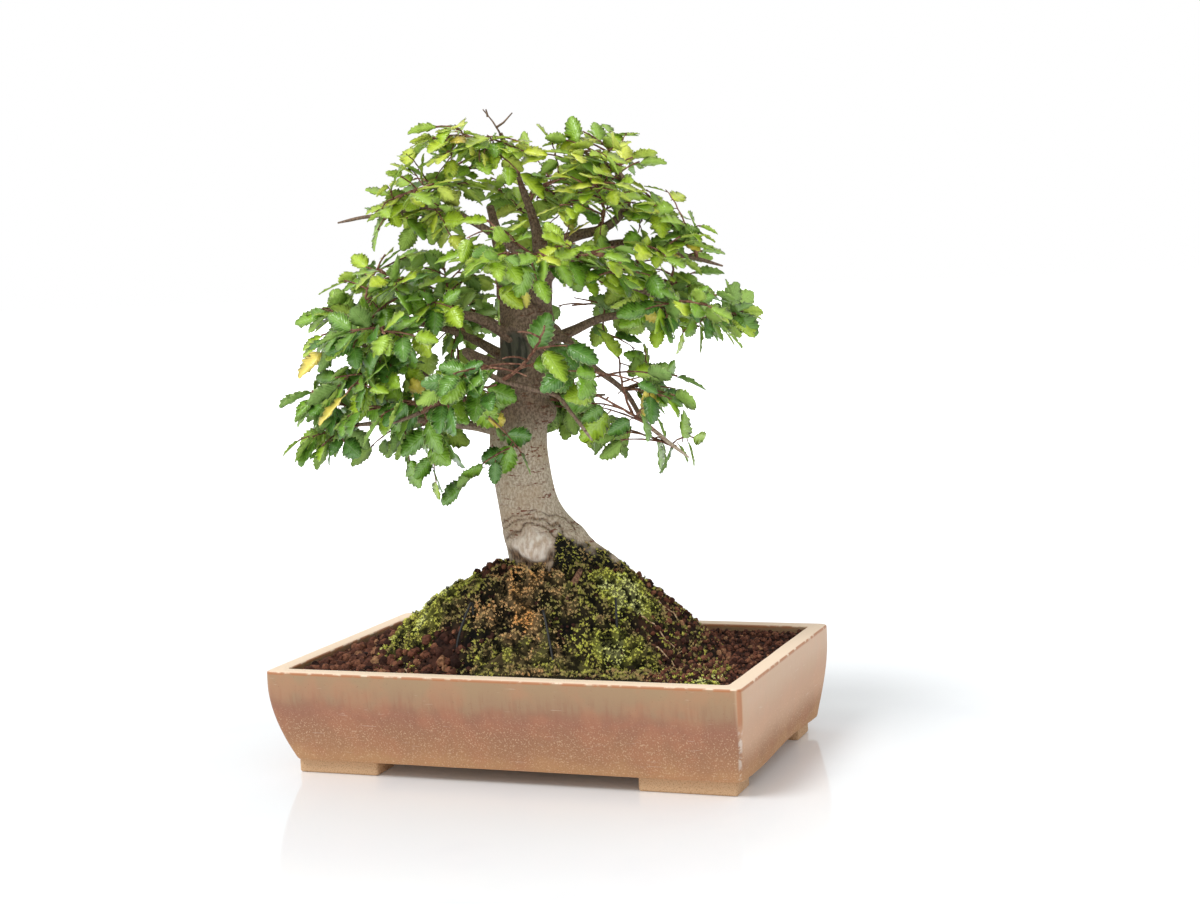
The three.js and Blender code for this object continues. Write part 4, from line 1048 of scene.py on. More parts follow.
def carveBark(bm):
    layers = {name: bm.verts.layers.float.new(name) for name in ("wound", "scar", "torn", "shadeUnderMoss")}
    bm.normal_update()
    front = seen(0, 1, 0)
    for vert in bm.verts:
        point = vert.co
        across, near = fromFront(point)
        facing = smoothStep(-0.1, 0.45, vert.normal.dot(front)) if near > 0 else 0
        push = wood["flute"] * noise.noise(Vector((point.x * 0.16, point.y * 0.16, point.z * 0.022)))
        push += wood["fibre"] * noise.noise(Vector((point.x * 0.9, point.y * 0.9, point.z * 0.11)))
        far = farFrom(wound, across, point.z)
        push += woundPush(point, far) * facing * (1 if near > wound["near"] else 0)
        vert[layers["wound"]] = smoothStep(0.92, 0.7, far) * facing
        far = farFrom(scar, across, point.z) + scar["ragged"] * noise.noise(point / scar["raggedPitch"])
        scarred, torn = scarPush(point, far)
        push += scarred * facing
        vert[layers["scar"]] = smoothStep(1.12, 0.7, far) * facing
        vert[layers["torn"]] = torn * facing
        # where the bark's finish paints shade under the moss
        vert[layers["shadeUnderMoss"]] = mossyBark(point)
        vert.co = point + vert.normal * push


# Bare twigs: the fork that stands out over the crown
bareTwigs = [
    [(-18, 0, 402), (-20, 1, 412), (-24, 2, 419), (-30, 2, 427)],
    [(-22, 1, 415), (-17, 1, 418), (-11, 2, 424)],
    [(-27, 2, 422), (-28, 2, 427)],
]
bareTwig = {"radii": (0.85, 0.4), "sides": 6}


def makeWood(material):
    bm = heavyWood()
    bm.loops.layers.uv.new("leafUv")
    carveBark(bm)
    bm.normal_update()
    lowBark = [(vert.co.copy(), vert.normal.copy()) for vert in bm.verts
               if vert.co.z < trunkMoss["below"]]
    for number, (radii, points) in enumerate(boughs.values()):
        if not isThick(radii):
            path, sizes = limbPath(points, radii, wood["boughPower"], 4, number)
            tip = path[-1] + (path[-1] - path[-2]).normalized() * wood["tip"]
            tube(bm, path + [tip], sizes + [sizes[-1] * 0.5], 9)
    for points in bareTwigs:
        path = [seen(*point) for point in points]
        thick, thin = bareTwig["radii"]
        sizes = [thick + (thin - thick) * k / (len(path) - 1) for k in range(len(path))]
        tube(bm, path, sizes, bareTwig["sides"])
    finishSolid("tree_wood", bm, material, "bark", ["tree"])
    return lowBark


# The finish of the bark: each pair runs from dark to light; the darker bark of the crown, partly painted
# shade under the leaves, starts at a height, and under the moss at the trunk's foot the bark is painted in
# shade
barkLook = {
    "smooth": ((168, 150, 131), (206, 192, 173)), "crown": ((70, 50, 40), (118, 88, 70)),
    "crownFrom": (0.2, 0.236), "crownShare": 0.78,
    "wound": ((58, 58, 50), (92, 90, 78)), "scar": ((196, 172, 150), (244, 234, 222)),
    "torn": ((58, 42, 31), (130, 104, 80)), "blotch": (176, 150, 122), "cracks": (128, 106, 90),
    # the last colour is the near-black of painted shade under the moss on the trunk's foot
    "pores": (112, 56, 40), "shadeUnderMoss": (18, 16, 9),
}


def grained(tree, place, x, y, z, detail, low, high):  # patches drawn out along the trunk or round it
    return patches(tree, stretched(tree, place, x, y, z), 1.0, detail, low, high)


def barkMaterial():
    material, tree, shader, place = newMaterial("bark", Roughness=0.82, Specular_IOR_Level=0.2)
    streaks = grained(tree, place, 760, 760, 520, 5.0, 0.36, 0.64)
    shade = twoTone(tree, streaks, barkLook["smooth"])
    shade = tint(tree, shade, patches(tree, place, 60.0, 4.0, 0.42, 0.68), 0.45, barkLook["blotch"])
    shade = tint(tree, shade, grained(tree, place, 260, 260, 900, 5.0, 0.58, 0.68), 0.35, barkLook["cracks"])
    rows = grained(tree, place, 46, 46, 260, 2.0, 0.53, 0.62)
    pores = times(tree, rows, grained(tree, place, 300, 300, 700, 2.0, 0.52, 0.58))
    shade = tint(tree, shade, pores, 0.85, barkLook["pores"])
    # darker brown bark from a height up in the crown, partly real bark and partly painted shade under the
    # leaves
    crownPart = between(tree, heightOf(tree, place), *barkLook["crownFrom"])
    crownPart = times(tree, crownPart, barkLook["crownShare"])
    shade = blend(tree, crownPart, shade, twoTone(tree, streaks, barkLook["crown"]))
    woody = twoTone(tree, grained(tree, place, 300, 300, 60, 4.0, 0.4, 0.6), barkLook["wound"])
    shade = blend(tree, painted(tree, "wound"), shade, woody)
    pale = twoTone(tree, grained(tree, place, 420, 420, 160, 5.0, 0.3, 0.7), barkLook["scar"])
    shade = blend(tree, times(tree, painted(tree, "scar"), 0.85), shade, pale)
    torn = twoTone(tree, grained(tree, place, 900, 900, 180, 3.0, 0.4, 0.6), barkLook["torn"])
    shade = blend(tree, painted(tree, "torn"), shade, torn)
    # painted shade: near-black bark where moss covers the trunk's foot
    giveColour(tree, shader, blend(tree, painted(tree, "shadeUnderMoss"), shade, colour(*barkLook["shadeUnderMoss"])))
    fine = grain(tree, stretched(tree, place, 1, 1, 0.7), 620.0, 1800.0, 0.4)
    relief(tree, shader, combine(tree, "ADD", fine, times(tree, pores, 0.6)), 0.55, 0.0009)
    return material


# The leafy sprays: where each ends, where it starts, its twigs and its leaves
tiers = [
    (212, 150, 58, 84, 92, 8, 0.2, 48), (245, 160, 76, 104, 106, 9, 0.5, 22),
    (292, 158, 128, 112, 112, 9, 0.05, 0), (334, 118, 104, 92, 92, 8, 0.4, 0),
    (376, 92, 78, 66, 66, 6, 0.15, 0), (402, 74, 46, 34, 34, 4, 0.6, 0),
]  # height, reach to the left, right, front and back, count, turn, lift at the front
tips = {"seed": 4711, "turn": 0.18, "reach": 0.9, "up": 8}
starts = {
    "first": 0.3, "last": 0.99, "count": 7, "downhill": 0.8, "crowding": 15, "crowd": 14, "shortest": 56,
    "stub": 2, "tried": 12,
}
sprig = {
    "seed": 7919, "zone": 72, "first": 0.22, "alongBough": 0.22, "alongWay": 0.3, "rise": 0.1,
    "shares": (0.05, 0.3, 0.55, 0.78), "reach": (26, 38, 0.4), "alongMain": 0.55, "aside": 0.85,
    "lift": (-0.15, 0.35), "sag": (0.05, 0.3), "mainSteps": 3, "mainRadius": (1.35, 0.6),
    "sideRadius": (0.7, 0.4), "sideFirst": 0.3, "moreShares": (0.14, 0.42, 0.7), "moreReach": (17, 30),
    "moreLift": (-0.6, 0.6), "subReach": (11, 19), "subFrom": (0.45, 0.7), "fineRadius": (0.6, 0.35),
    "kneePitch": 5, "zigzag": 0.9, "knees": (1.12, 0.95),
}
leaf = {
    "pitch": 8.5, "sidePitch": 7.5, "length": (15, 23), "slim": (0.54, 0.66), "sunk": 1.5,
    "face": (0.8, 0.45, 0.4, 0.3), "looseFace": (0.6, 0.75, 0.3, 0.5), "along": (0.35, 0.65),
    "aside": (0.7, 1), "endAside": (0.4, 0.6), "hang": (0.05, 0.5), "backmost": 132, "seed": 7,
    "highSpan": (220, 420),
    "tone": (0.02, 0.44, 0.26), "toneVary": (-0.24, 0.32), "yellowOver": 0.992, "palest": 0.93,
    "size": (1.15, 0.2), "sizeVary": (0.82, 1.1),
}
heart = seen(-10, 0, 245)


def crownTips(rings):
    draw = drawer(tips["seed"])
    found = []
    for up, left, right, front, back, count, turn, lift in rings:
        for i in range(count):
            angle = (i + turn + draw(-tips["turn"], tips["turn"])) / count * 2 * math.pi
            across, near = math.cos(angle), math.sin(angle)
            reach = draw(tips["reach"], 1)
            found.append(seen(across * reach * (left if across < 0 else right),
                              near * reach * (back if near < 0 else front),
                              up + lift * max(0, near) ** 2 + draw(-tips["up"], tips["up"])))
    return found


def boughSpots():
    spots = []
    for radii, points in boughs.values():
        path = [seen(*point) for point in points]
        for k in range(starts["count"]):
            u = starts["first"] + (starts["last"] - starts["first"]) * k / (starts["count"] - 1)
            along = tangentOf(lambda t: pointOn(path, t), u)
            spots.append({"at": pointOn(path, u), "along": along, "used": 0})
    return spots


def bestSpots(spots, tip):
    def cost(spot):
        far = (spot["at"] - tip).length
        return (far + starts["stub"] * max(0, starts["shortest"] - far)
                + starts["downhill"] * max(0, spot["at"].z - tip.z) + starts["crowding"] * spot["used"])
    return sorted(spots, key=cost)[:starts["tried"]]


def mainCurve(start, tip):
    way = tip - start["at"]
    bend = start["at"] + start["along"] * (sprig["alongBough"] * way.length) + way * sprig["alongWay"] \
        + Vector((0, 0, sprig["rise"] * way.length))
    return [start["at"], bend, tip]


def startOf(spots, tip, solid):  # the spot whose main twig runs through the spray's solid
    def miss(spot):
        ends = mainCurve(spot, tip)
        return missedBy(solid, lambda u: stepPoint(lambda t: bentPoint(ends, t), sprig["mainSteps"], u),
                        (0.4, 0.55, 0.7, 0.85))
    found = min(bestSpots(spots, tip), key=miss)
    for spot in spots:
        if (spot["at"] - found["at"]).length < starts["crowd"]:
            spot["used"] += 1
    return found


def leafSlots(curveAt, steps, first, pitch, draw, facing="face"):
    length = lengthOf(curveAt) * (1 - first)
    count = max(2, int(length / pitch))
    outward, tilt, up, upSpread = leaf[facing]
    side = 1 if draw() < 0.5 else -1
    slots = []
    for i in range(count + 1):
        u = (first + (1 - first) * i / count) * (1 - leaf["sunk"] / length)
        at = stepPoint(curveAt, steps, u)
        along = tangentOf(curveAt, u)
        tiltX, tiltY, tiltUp = draw(-tilt, tilt), draw(-tilt, tilt), draw(-upSpread, upSpread)
        face = ((at - heart).normalized() * outward + Vector((tiltX, tiltY, up + tiltUp))).normalized()
        across = along.cross(face).normalized()
        last = i == count
        forward = 1 if last else draw(*leaf["along"])
        aside = draw(*leaf["endAside"]) if last else draw(*leaf["aside"])
        out = (along * forward + across * (side * aside) - Vector((0, 0, draw(*leaf["hang"])))).normalized()
        face = (face - out * face.dot(out)).normalized()
        slots.append({"at": at, "out": out, "face": face, "length": draw(*leaf["length"]),
                      "slim": draw(*leaf["slim"]), "last": last})
        side = -side
    return slots


def sprayTwigs(start, tip, seed):  # the main twig and its side twigs, each with its leaf slots
    draw = drawer(seed)
    ends = mainCurve(start, tip)

    def mainAt(u):
        return bentPoint(ends, u)

    first = max(sprig["first"], 1 - sprig["zone"] / (tip - start["at"]).length)
    twigs = [{"at": mainAt, "radii": sprig["mainRadius"], "first": first,
              "slots": leafSlots(mainAt, sprig["mainSteps"], first, leaf["pitch"], draw)}]
    side = 1 if draw() < 0.5 else -1
    low, high, fade = sprig["reach"]
    for share in sprig["shares"]:
        u = first + (1 - first) * share
        at = stepPoint(mainAt, sprig["mainSteps"], u)
        along = tangentOf(mainAt, u)
        across = along.cross(Vector((0, 0, 1))).normalized()
        reach = draw(low, high) * (1 - fade * share)
        out = (along * sprig["alongMain"] + across * (side * sprig["aside"])
               + Vector((0, 0, draw(*sprig["lift"])))).normalized()
        end = at + out * reach + Vector((0, 0, -reach * draw(*sprig["sag"])))
        corners = [at, at + out * (reach / 2), end]

        def sideAt(t, corners=corners):
            return bentPoint(corners, t)

        twigs.append({"at": sideAt, "radii": sprig["sideRadius"],
                      "slots": leafSlots(sideAt, 1, sprig["sideFirst"], leaf["sidePitch"], draw)})
        side = -side
    return twigs + moreTwigs(twigs, draw)


def sideCurve(curveAt, u, side, reach, lift, sag):
    at = curveAt(u)
    along = tangentOf(curveAt, u)
    across = along.cross(Vector((0, 0, 1))).normalized()
    out = (along * sprig["alongMain"] + across * (side * sprig["aside"]) + Vector((0, 0, lift))).normalized()
    corners = [at, at + out * (reach / 2), at + out * reach + Vector((0, 0, -reach * sag))]
    return lambda t: bentPoint(corners, t)


# Gaps where the light shows through the crown: across and up as seen from the front, and half their width
crownGaps = [(24, 287, 17), (50, 238, 16), (46, 253, 15), (-114, 218, 12), (66, 210, 12)]


def inGap(point):
    across, near = fromFront(point)
    return any(math.hypot(across - a, point.z - up) < half for a, up, half in crownGaps)


woundView = {"at": (-14, 268), "half": (17, 21), "near": 12}  # where the big wound shows between the leaves
openPart = {"middle": -12, "half": 48, "near": 22, "under": 262, "rightOf": 14, "rightUnder": 258}


def overWound(point):
    across, near = fromFront(point)
    return near > woundView["near"] and farFrom(woundView, across, point.z) < 1


def isOpen(point):  # the part of the crown in front of the trunk, where the bark shows between few leaves
    across, near = fromFront(point)
    inFront = abs(across - openPart["middle"]) < openPart["half"] and near > openPart["near"]
    return (inFront and point.z < openPart["under"]
            or across > openPart["rightOf"] and point.z < openPart["rightUnder"])


def moreTwigs(twigs, draw):  # finer twigs between the ones above, for a full crown
    main, first = twigs[0]["at"], twigs[0]["first"]
    if isOpen(main(0.9)):
        return []
    low, high = sprig["moreLift"]
    low = max(low, -0.15 - (main(1).z - 215) * 0.006)  # the lowest sprays grow no twigs far below them
    added = []
    for order, share in enumerate(sprig["moreShares"]):
        u = first + (1 - first) * share
        reach = draw(*sprig["moreReach"]) * (1 - 0.3 * share)
        side = 1 if order % 2 else -1
        added.append(sideCurve(main, u, side, reach, draw(low, high), draw(*sprig["sag"])))
    for order, twig in enumerate(twigs[1::2]):
        u = draw(*sprig["subFrom"])
        side = 1 if order % 2 else -1
        reach = draw(*sprig["subReach"])
        added.append(sideCurve(twig["at"], u, side, reach, draw(low, high), draw(*sprig["sag"])))
    return [{"at": curveAt, "radii": sprig["fineRadius"],
             "slots": leafSlots(curveAt, 1, sprig["sideFirst"], leaf["sidePitch"], draw, "looseFace")}
            for curveAt in added if not inGap(curveAt(0.7)) and not overWound(curveAt(0.7))]


# One blade: its width by place along it, its teeth, and how it curls, folds and twists
blade = {
    "seeds": (101, 211, 307, 401, 503, 601), "teeth": 14, "thick": 0.009, "wide": 0.31, "base": 0.57,
    "tip": 0.76, "peak": 0.404, "tooth": 0.22, "toothReach": 0.035, "curl": (0.05, 0.2), "fold": (0.1, 0.3),
    "twist": (-0.25, 0.25), "ripple": 0.02, "ripples": 19, "stalk": (0.022, 0.016, 0.16),
}


def bladeShape(seed):  # a toothed blade of length 1 along X, facing Z, with its petiole
    draw = drawer(seed)
    curl, fold, twist = draw(*blade["curl"]), draw(*blade["fold"]), draw(*blade["twist"])
    wave = draw(0, 6.28)
    shape = newShape()
    for index, lift in enumerate((blade["thick"], -blade["thick"])):
        sheet = newShape()
        bmesh.ops.create_grid(sheet, x_segments=blade["teeth"], y_segments=2, size=1, calc_uvs=True)
        if index:
            bmesh.ops.reverse_faces(sheet, faces=sheet.faces)
        for vert in sheet.verts:
            u, v = (vert.co.x + 1) / 2, vert.co.y
            tooth = round(u * blade["teeth"]) % 2 if abs(v) > 0.99 and 0.05 < u < 0.97 else 0
            swell = u ** blade["base"] * (1 - u) ** blade["tip"]
            wide = blade["wide"] * swell / blade["peak"] * (1 + blade["tooth"] * tooth)
            ripple = blade["ripple"] * math.sin(u * blade["ripples"] + wave) * abs(v)
            rise = lift * (1 if abs(v) < 1 else 0) + fold * abs(v) * wide + ripple - curl * u * u
            bent = twist * (u - 0.3) * v * wide
            along = 0.1 + 0.9 * (u + blade["toothReach"] * tooth - 0.03 * abs(v) * (1 - u))
            vert.co = Vector((along, v * wide, rise + bent))
        pour(shape, sheet, index)
    bmesh.ops.remove_doubles(shape, verts=shape.verts, dist=0.003)
    thick, thin, long = blade["stalk"]
    stalk = Matrix.Translation((0.05, 0, 0)) @ Matrix.Rotation(math.pi / 2, 4, "Y")
    made = bmesh.ops.create_cone(shape, cap_ends=True, segments=3, radius1=thick, radius2=thin, depth=long,
                                 matrix=stalk)["verts"]
    for face in {f for v in made for f in v.link_faces}:
        face.material_index = 2
    return asMesh(shape, f"blade{seed}")


def growStems(bm, twigs):  # the wood of the twigs, with a slight zigzag and knees
    stems = newShape(())
    for order, twig in enumerate(twigs):
        count = max(4, round(lengthOf(twig["at"], 30) / sprig["kneePitch"]))
        thick, thin = twig["radii"]
        path, sizes = [], []
        for k in range(count + 1):
            u = k / count
            zig = 0 if k in (0, count) else sprig["zigzag"] * (1 if k % 2 else -1)
            across = tangentOf(twig["at"], u).cross(Vector((0, 0, 1))).normalized()
            path.append(twig["at"](u) + across * zig * (0.5 if order == 0 else 0.4))
            sizes.append((thick + (thin - thick) * u) * sprig["knees"][0 if k % 2 else 1])
        tube(stems, path, sizes, 5 if order == 0 else 4)
    bmesh.ops.recalc_face_normals(stems, faces=stems.faces)
    pour(bm, stems, 2)


def leafTone(slot, young, high, draw):  # 0 deep green, 1 yellow; paler high up and near the tip of a twig
    least, byHeight, byAge = leaf["tone"]
    tone = least + byHeight * high + byAge * young ** 2 + draw(*leaf["toneVary"])
    if slot.get("yellow") or draw() > leaf["yellowOver"]:
        return 1
    return min(max(tone, 0), leaf["palest"])


def growLeaves(bm, number, twigs, blades):
    draw = drawer(31 * number + leaf["seed"])
    large, less = leaf["size"]
    for twig in twigs:
        for place, slot in enumerate(twig["slots"]):
            high = smoothStep(*leaf["highSpan"], slot["at"].z)
            tone = leafTone(slot, place / len(twig["slots"]), high, draw)
            length = slot["length"] * (large - less * high) * draw(*leaf["sizeVary"])
            pick = int(draw(0, len(blades) - 0.001))
            reach = slot["out"] * length
            middle, tip = slot["at"] + reach / 2, slot["at"] + reach
            if inGap(middle) or overWound(middle) or tip.y >= leaf["backmost"]:
                continue
            aside = slot["face"].cross(slot["out"]) * (length * slot["slim"] / leaf["slim"][1])
            turn = Matrix((reach, aside, slot["face"] * length)).transposed().to_4x4()
            stamp(bm, blades[pick], Matrix.Translation(slot["at"]) @ turn, tone)


# Inner branches that fill the crown between the sprays, each from the foot of a spray's main twig
innerTiers = [
    (262, 104, 64, 66, 66, 4, 0.55, 0), (312, 116, 82, 72, 72, 4, 0.6, 0), (358, 78, 70, 60, 60, 4, 0.2, 0),
    (392, 68, 50, 42, 42, 3, 0.4, 0),
]
innerTwig = {
    "seed": 3571, "shares": (0.12, 0.3, 0.5), "length": 38, "tried": 20, "alongMain": 0.2, "alongWay": 0.35,
    "first": 0.3, "radius": (1.0, 0.6), "steps": 2,
}


def missedBy(solid, curveAt, shares):  # how far a twig runs from the spray's solid
    return sum(solid.find_nearest(toFrame @ curveAt(share))[3] for share in shares)


def innerCurve(main, share, tip):
    at = stepPoint(main, sprig["mainSteps"], share)
    way = tip - at
    bend = at + tangentOf(main, share) * (innerTwig["alongMain"] * way.length) + way * innerTwig["alongWay"]
    corners = [at, bend, tip]
    return lambda t: bentPoint(corners, t)


def addInnerBranch(sprays, tip, number):
    found = []
    for spray in sprays:
        for share in innerTwig["shares"]:
            at = stepPoint(spray["main"], sprig["mainSteps"], share)
            found.append((abs((at - tip).length - innerTwig["length"]), spray, share))
    free = sorted((item for item in found if not item[1]["branched"]), key=lambda item: item[0])
    tried = free[:innerTwig["tried"]]
    curves = [(spray, innerCurve(spray["main"], share, tip)) for cost, spray, share in tried]
    spray, curveAt = min(curves, key=lambda item: missedBy(item[0]["solid"], item[1], (0.3, 0.5, 0.7, 0.9)))
    spray["branched"] = True
    draw = drawer(innerTwig["seed"] * (number + 1))
    branch = {"at": curveAt, "radii": innerTwig["radius"], "first": innerTwig["first"],
              "slots": leafSlots(curveAt, innerTwig["steps"], innerTwig["first"], leaf["pitch"], draw)}
    spray["twigs"] += [branch] + moreTwigs([branch], draw)


# Small twigs with a place of their own, each from the nearest twig: leaves that hang or stand alone
loneTips = [
    (-6, 20, 404), (-7, 30, 384), (-32, 30, 392), (-53, 40, 347), (-100, 26, 352), (23, 30, 350),
    (42, 30, 343), (70, 10, 389), (86, 10, 370), (-23, 50, 305), (-10, 54, 312), (-2, -30, 400),
    (-28, -34, 384), (14, 4, 404), (-50, 0, 408), (20, 40, 330), (-40, 44, 330), (-78, 30, 372),
    (-69, 48, 190), (-86, 40, 204), (-14, 40, 206), (106, 20, 336), (30, -40, 362), (-60, -44, 352),
    (-4, 25, 398), (9, 20, 396), (-84, 25, 386), (-80, 15, 400), (-53, 46, 189), (-140, 18, 300),
    (68, 20, 268), (66, 10, 392),
]
yellowLeaves = [(-74, 45, 251), (-20, 50, 231), (-8, 55, 306), (106, 25, 334)]  # the nearest leaf to each
loneTwig = {
    "seed": 6607, "length": 30, "radii": (0.6, 0.4), "pitch": 7.5, "first": 0.2,
    "shares": (0.3, 0.5, 0.7, 0.9), "arch": 0.15, "twigs": 6,
}


def addLoneTwig(sprays, tip, number):
    found = []
    for spray in sprays:
        for twig in spray["twigs"][:loneTwig["twigs"]]:
            for share in loneTwig["shares"]:
                at = twig["at"](share)
                miss = abs((at - tip).length - loneTwig["length"])
                found.append((miss, spray["name"], share, spray, at))
    spray, at = min(found, key=lambda item: item[:3])[3:]
    arch = Vector((0, 0, loneTwig["arch"] * (tip - at).length))
    corners = [at, (at + tip) / 2 + arch, tip]
    draw = drawer(loneTwig["seed"] * (number + 1))

    def curveAt(u):
        return bentPoint(corners, u)

    slots = leafSlots(curveAt, 1, loneTwig["first"], loneTwig["pitch"], draw, "looseFace")
    spray["twigs"].append({"at": curveAt, "radii": loneTwig["radii"], "slots": slots})


subpartOf = {part["node"]: index for index, part in enumerate(frame["record"]["subparts"])}


def makeSprays(materials):
    blades = [bladeShape(seed) for seed in blade["seeds"]]
    spots = boughSpots()
    sprays = []
    for number, tip in enumerate(crownTips(tiers)):
        name = f"spray_{number + 1:02d}"
        node = frame["nodes"].get(name)
        if node is None:
            continue
        solid = BVHTree.FromPolygons([v.co[:] for v in node.data.vertices],
                                     [p.vertices[:] for p in node.data.polygons])
        twigs = sprayTwigs(startOf(spots, tip, solid), tip, sprig["seed"] * (number + 1))
        sprays.append({"name": name, "number": number, "solid": solid, "twigs": twigs, "main": twigs[0]["at"],
                       "branched": False})
    for number, tip in enumerate(crownTips(innerTiers)):
        addInnerBranch(sprays, tip, number)
    for number, place in enumerate(loneTips):
        addLoneTwig(sprays, seen(*place), number)
    slots = [slot for spray in sprays for twig in spray["twigs"] for slot in twig["slots"]]
    for place in yellowLeaves:
        min(slots, key=lambda slot: (slot["at"] + slot["out"] * 9 - seen(*place)).length)["yellow"] = True
    for spray in sprays:
        bm = newShape()
        growStems(bm, spray["twigs"])
        growLeaves(bm, spray["number"], spray["twigs"], blades)
        slot = frame["record"]["subparts"][subpartOf[spray["name"]]]["material_slot"]
        finishPiece("leafy_" + spray["name"], bm, materials, slot, [spray["name"]])


# The finish of the leaves: deep green to yellow, the paler underside, the veins and the rim
leafLook = {
    "tones": [(0.0, (88, 142, 50)), (0.25, (132, 180, 50)), (0.5, (184, 216, 52)), (0.75, (224, 236, 74)),
              (0.93, (242, 246, 104)), (1.0, (250, 226, 92))],
    "under": (196, 216, 140), "vein": (222, 238, 160), "edge": (226, 240, 156), "shadow": (70, 110, 24),
    "veins": 9.0, "slant": 5.0, "underShare": 0.35,
}


def leafMaterial(name, under):
    material, tree, shader, place = newMaterial(name, Roughness=0.55 if under else 0.3,
                                               Specular_IOR_Level=0.2 if under else 0.7,
                                               Coat_Weight=0 if under else 0.4, Coat_Roughness=0.16)
    shade = ramp(tree, painted(tree, "tone"), leafLook["tones"])
    if under:
        shade = blend(tree, leafLook["underShare"], shade, colour(*leafLook["under"]))
    onLeaf = put(tree, "ShaderNodeUVMap", uv_map="leafUv").outputs["UV"]
    parts = put(tree, "ShaderNodeSeparateXYZ", {0: onLeaf})
    off = combine(tree, "ABSOLUTE", combine(tree, "SUBTRACT", parts.outputs["Y"], 0.5), 0)
    rib = between(tree, off, 0.035, 0.008)
    slanted = combine(tree, "SUBTRACT", times(tree, parts.outputs["X"], leafLook["veins"]),
                      times(tree, off, leafLook["slant"]))
    fraction = combine(tree, "SUBTRACT", combine(tree, "FRACT", slanted, 0), 0.5)
    fraction = combine(tree, "ABSOLUTE", fraction, 0)
    lines = combine(tree, "MAXIMUM", rib, times(tree, between(tree, fraction, 0.13, 0.03), 0.6))
    shade = tint(tree, shade, lines, 0.15, leafLook["vein"])
    shade = tint(tree, shade, between(tree, off, 0.45, 0.49), 0.7, leafLook["edge"])
    shadows = patches(tree, place, 190.0, 3.0, 0.5, 0.72)
    giveColour(tree, shader, tint(tree, shade, shadows, 0.22, leafLook["shadow"]))
    puff = combine(tree, "SUBTRACT", times(tree, fraction, 1.2), times(tree, rib, 0.8))
    relief(tree, shader, puff, 0.5, 0.0006)
    return material


def mottled(name, hues, spots, grains, bump, **fixed):  # a plain material of two tones with a fine relief
    material, tree, shader, place = newMaterial(name, **fixed)
    giveColour(tree, shader, twoTone(tree, patches(tree, place, *spots), hues))
    relief(tree, shader, grain(tree, place, *grains), *bump)
    return material


def twigMaterial():
    return mottled("twig", ((108, 70, 56), (160, 118, 96)), (380.0, 3.0, 0.4, 0.66), (900.0, 2500.0, 0.4),
                   (0.4, 0.0004), Roughness=0.7, Specular_IOR_Level=0.25)


# Small things on the mound: wire pins, pale roots and a stub of bark
pins = {
    "radius": 0.8, "over": 7.5, "under": 7, "shoulder": 0.1, "steps": 24, "sides": 10,
    "spots": [((-5, 57), (1, 79)), ((42, 49), (42, 63)), ((-50, 40), (-61, 52))],
}
fineRoots = [
    [(58, 48), (68, 50), (78, 56), (88, 54)], [(66, 60), (76, 66), (84, 76)],
    [(-96, 46), (-88, 56), (-84, 66)], [(70, 30), (84, 34), (96, 44)],
]
fineRoot = {"thick": 0.6, "taper": 0.4, "rise": 0.9, "sides": 6}


def onGround(across, near, rise):
    point = seen(across, near, 0)
    point.z = surface(point.x, point.y) + rise
    return point


def makePins(material):
    share, steps = pins["shoulder"], pins["steps"]
    for number, ends in enumerate(pins["spots"]):
        start, end = (Vector(place) for place in ends)
        corners = [onGround(*start, -pins["under"]), onGround(*start.lerp(end, share), pins["over"]),
                   onGround(*start.lerp(end, 1 - share), pins["over"]), onGround(*end, -pins["under"])]
        bm = bmesh.new()
        path = [pointOn(corners, k / steps) for k in range(steps + 1)]
        tube(bm, path, [pins["radius"]] * (steps + 1), pins["sides"])
        node = f"wire_pin_{number + 1}"
        finishSolid(node + "_bent", bm, material, "wire", [node])


def makeFineRoots(material):
    bm = bmesh.new()
    for spots in fineRoots:
        path = [onGround(across, near, fineRoot["rise"]) for across, near in spots]
        count = 6 * (len(path) - 1)
        smooth = [pointOn(path, k / count) for k in range(count + 1)]
        for point in smooth:
            point.z = surface(point.x, point.y) + fineRoot["rise"]
        sizes = [fineRoot["thick"] - fineRoot["taper"] * k / count for k in range(count + 1)]
        tube(bm, smooth, sizes, fineRoot["sides"])
    finishSolid("fine_roots", bm, material, "bark")


def rootMaterial():
    return mottled("fineRoot", ((158, 122, 88), (206, 178, 142)), (500.0, 3.0, 0.4, 0.6),
                   (1200.0, 3000.0, 0.4), (0.3, 0.0003), Roughness=0.75)


# A broken stub of bark that leans in the moss in front of the trunk
barkStub = {"foot": (6, 52), "top": (20, 34), "sunk": 2, "rise": 3, "wide": 5.4, "thick": 2.2, "ragged": 1.6}


def makeBarkStub(material):
    bm = bmesh.new()
    foot = onGround(*barkStub["foot"], -barkStub["sunk"])
    top = onGround(*barkStub["top"], barkStub["rise"])
    bmesh.ops.create_cube(bm, size=1)
    bmesh.ops.subdivide_edges(bm, edges=bm.edges, cuts=5, use_grid_fill=True)
    ahead = (top - foot).normalized()
    aside = ahead.cross(Vector((0, 0, 1))).normalized()
    for vert in bm.verts:
        along, across, off = vert.co.x + 0.5, vert.co.y, vert.co.z
        taper = 1 - 0.45 * along ** 2
        rough = noise.noise(Vector((along * 4, across * 5, off * 3))) * barkStub["ragged"]
        reach = (top - foot) * (along + 0.12 * noise.noise(Vector((across * 9, off * 9, 2))) * along)
        curl = barkStub["thick"] * (off - 1.2 * across * across) + 0.4 * rough
        shifted = aside * (across * barkStub["wide"] * taper + 0.4 * rough)
        vert.co = foot + reach + shifted + ahead.cross(aside) * -curl
    finishSolid("bark_stub", bm, material, "bark")


def plainMaterial(name, dark, light, roughness):
    return mottled(name, (dark, light), (700.0, 3.0, 0.4, 0.6), (900.0, 2600.0, 0.4), (0.2, 0.0002),
                   Roughness=roughness)


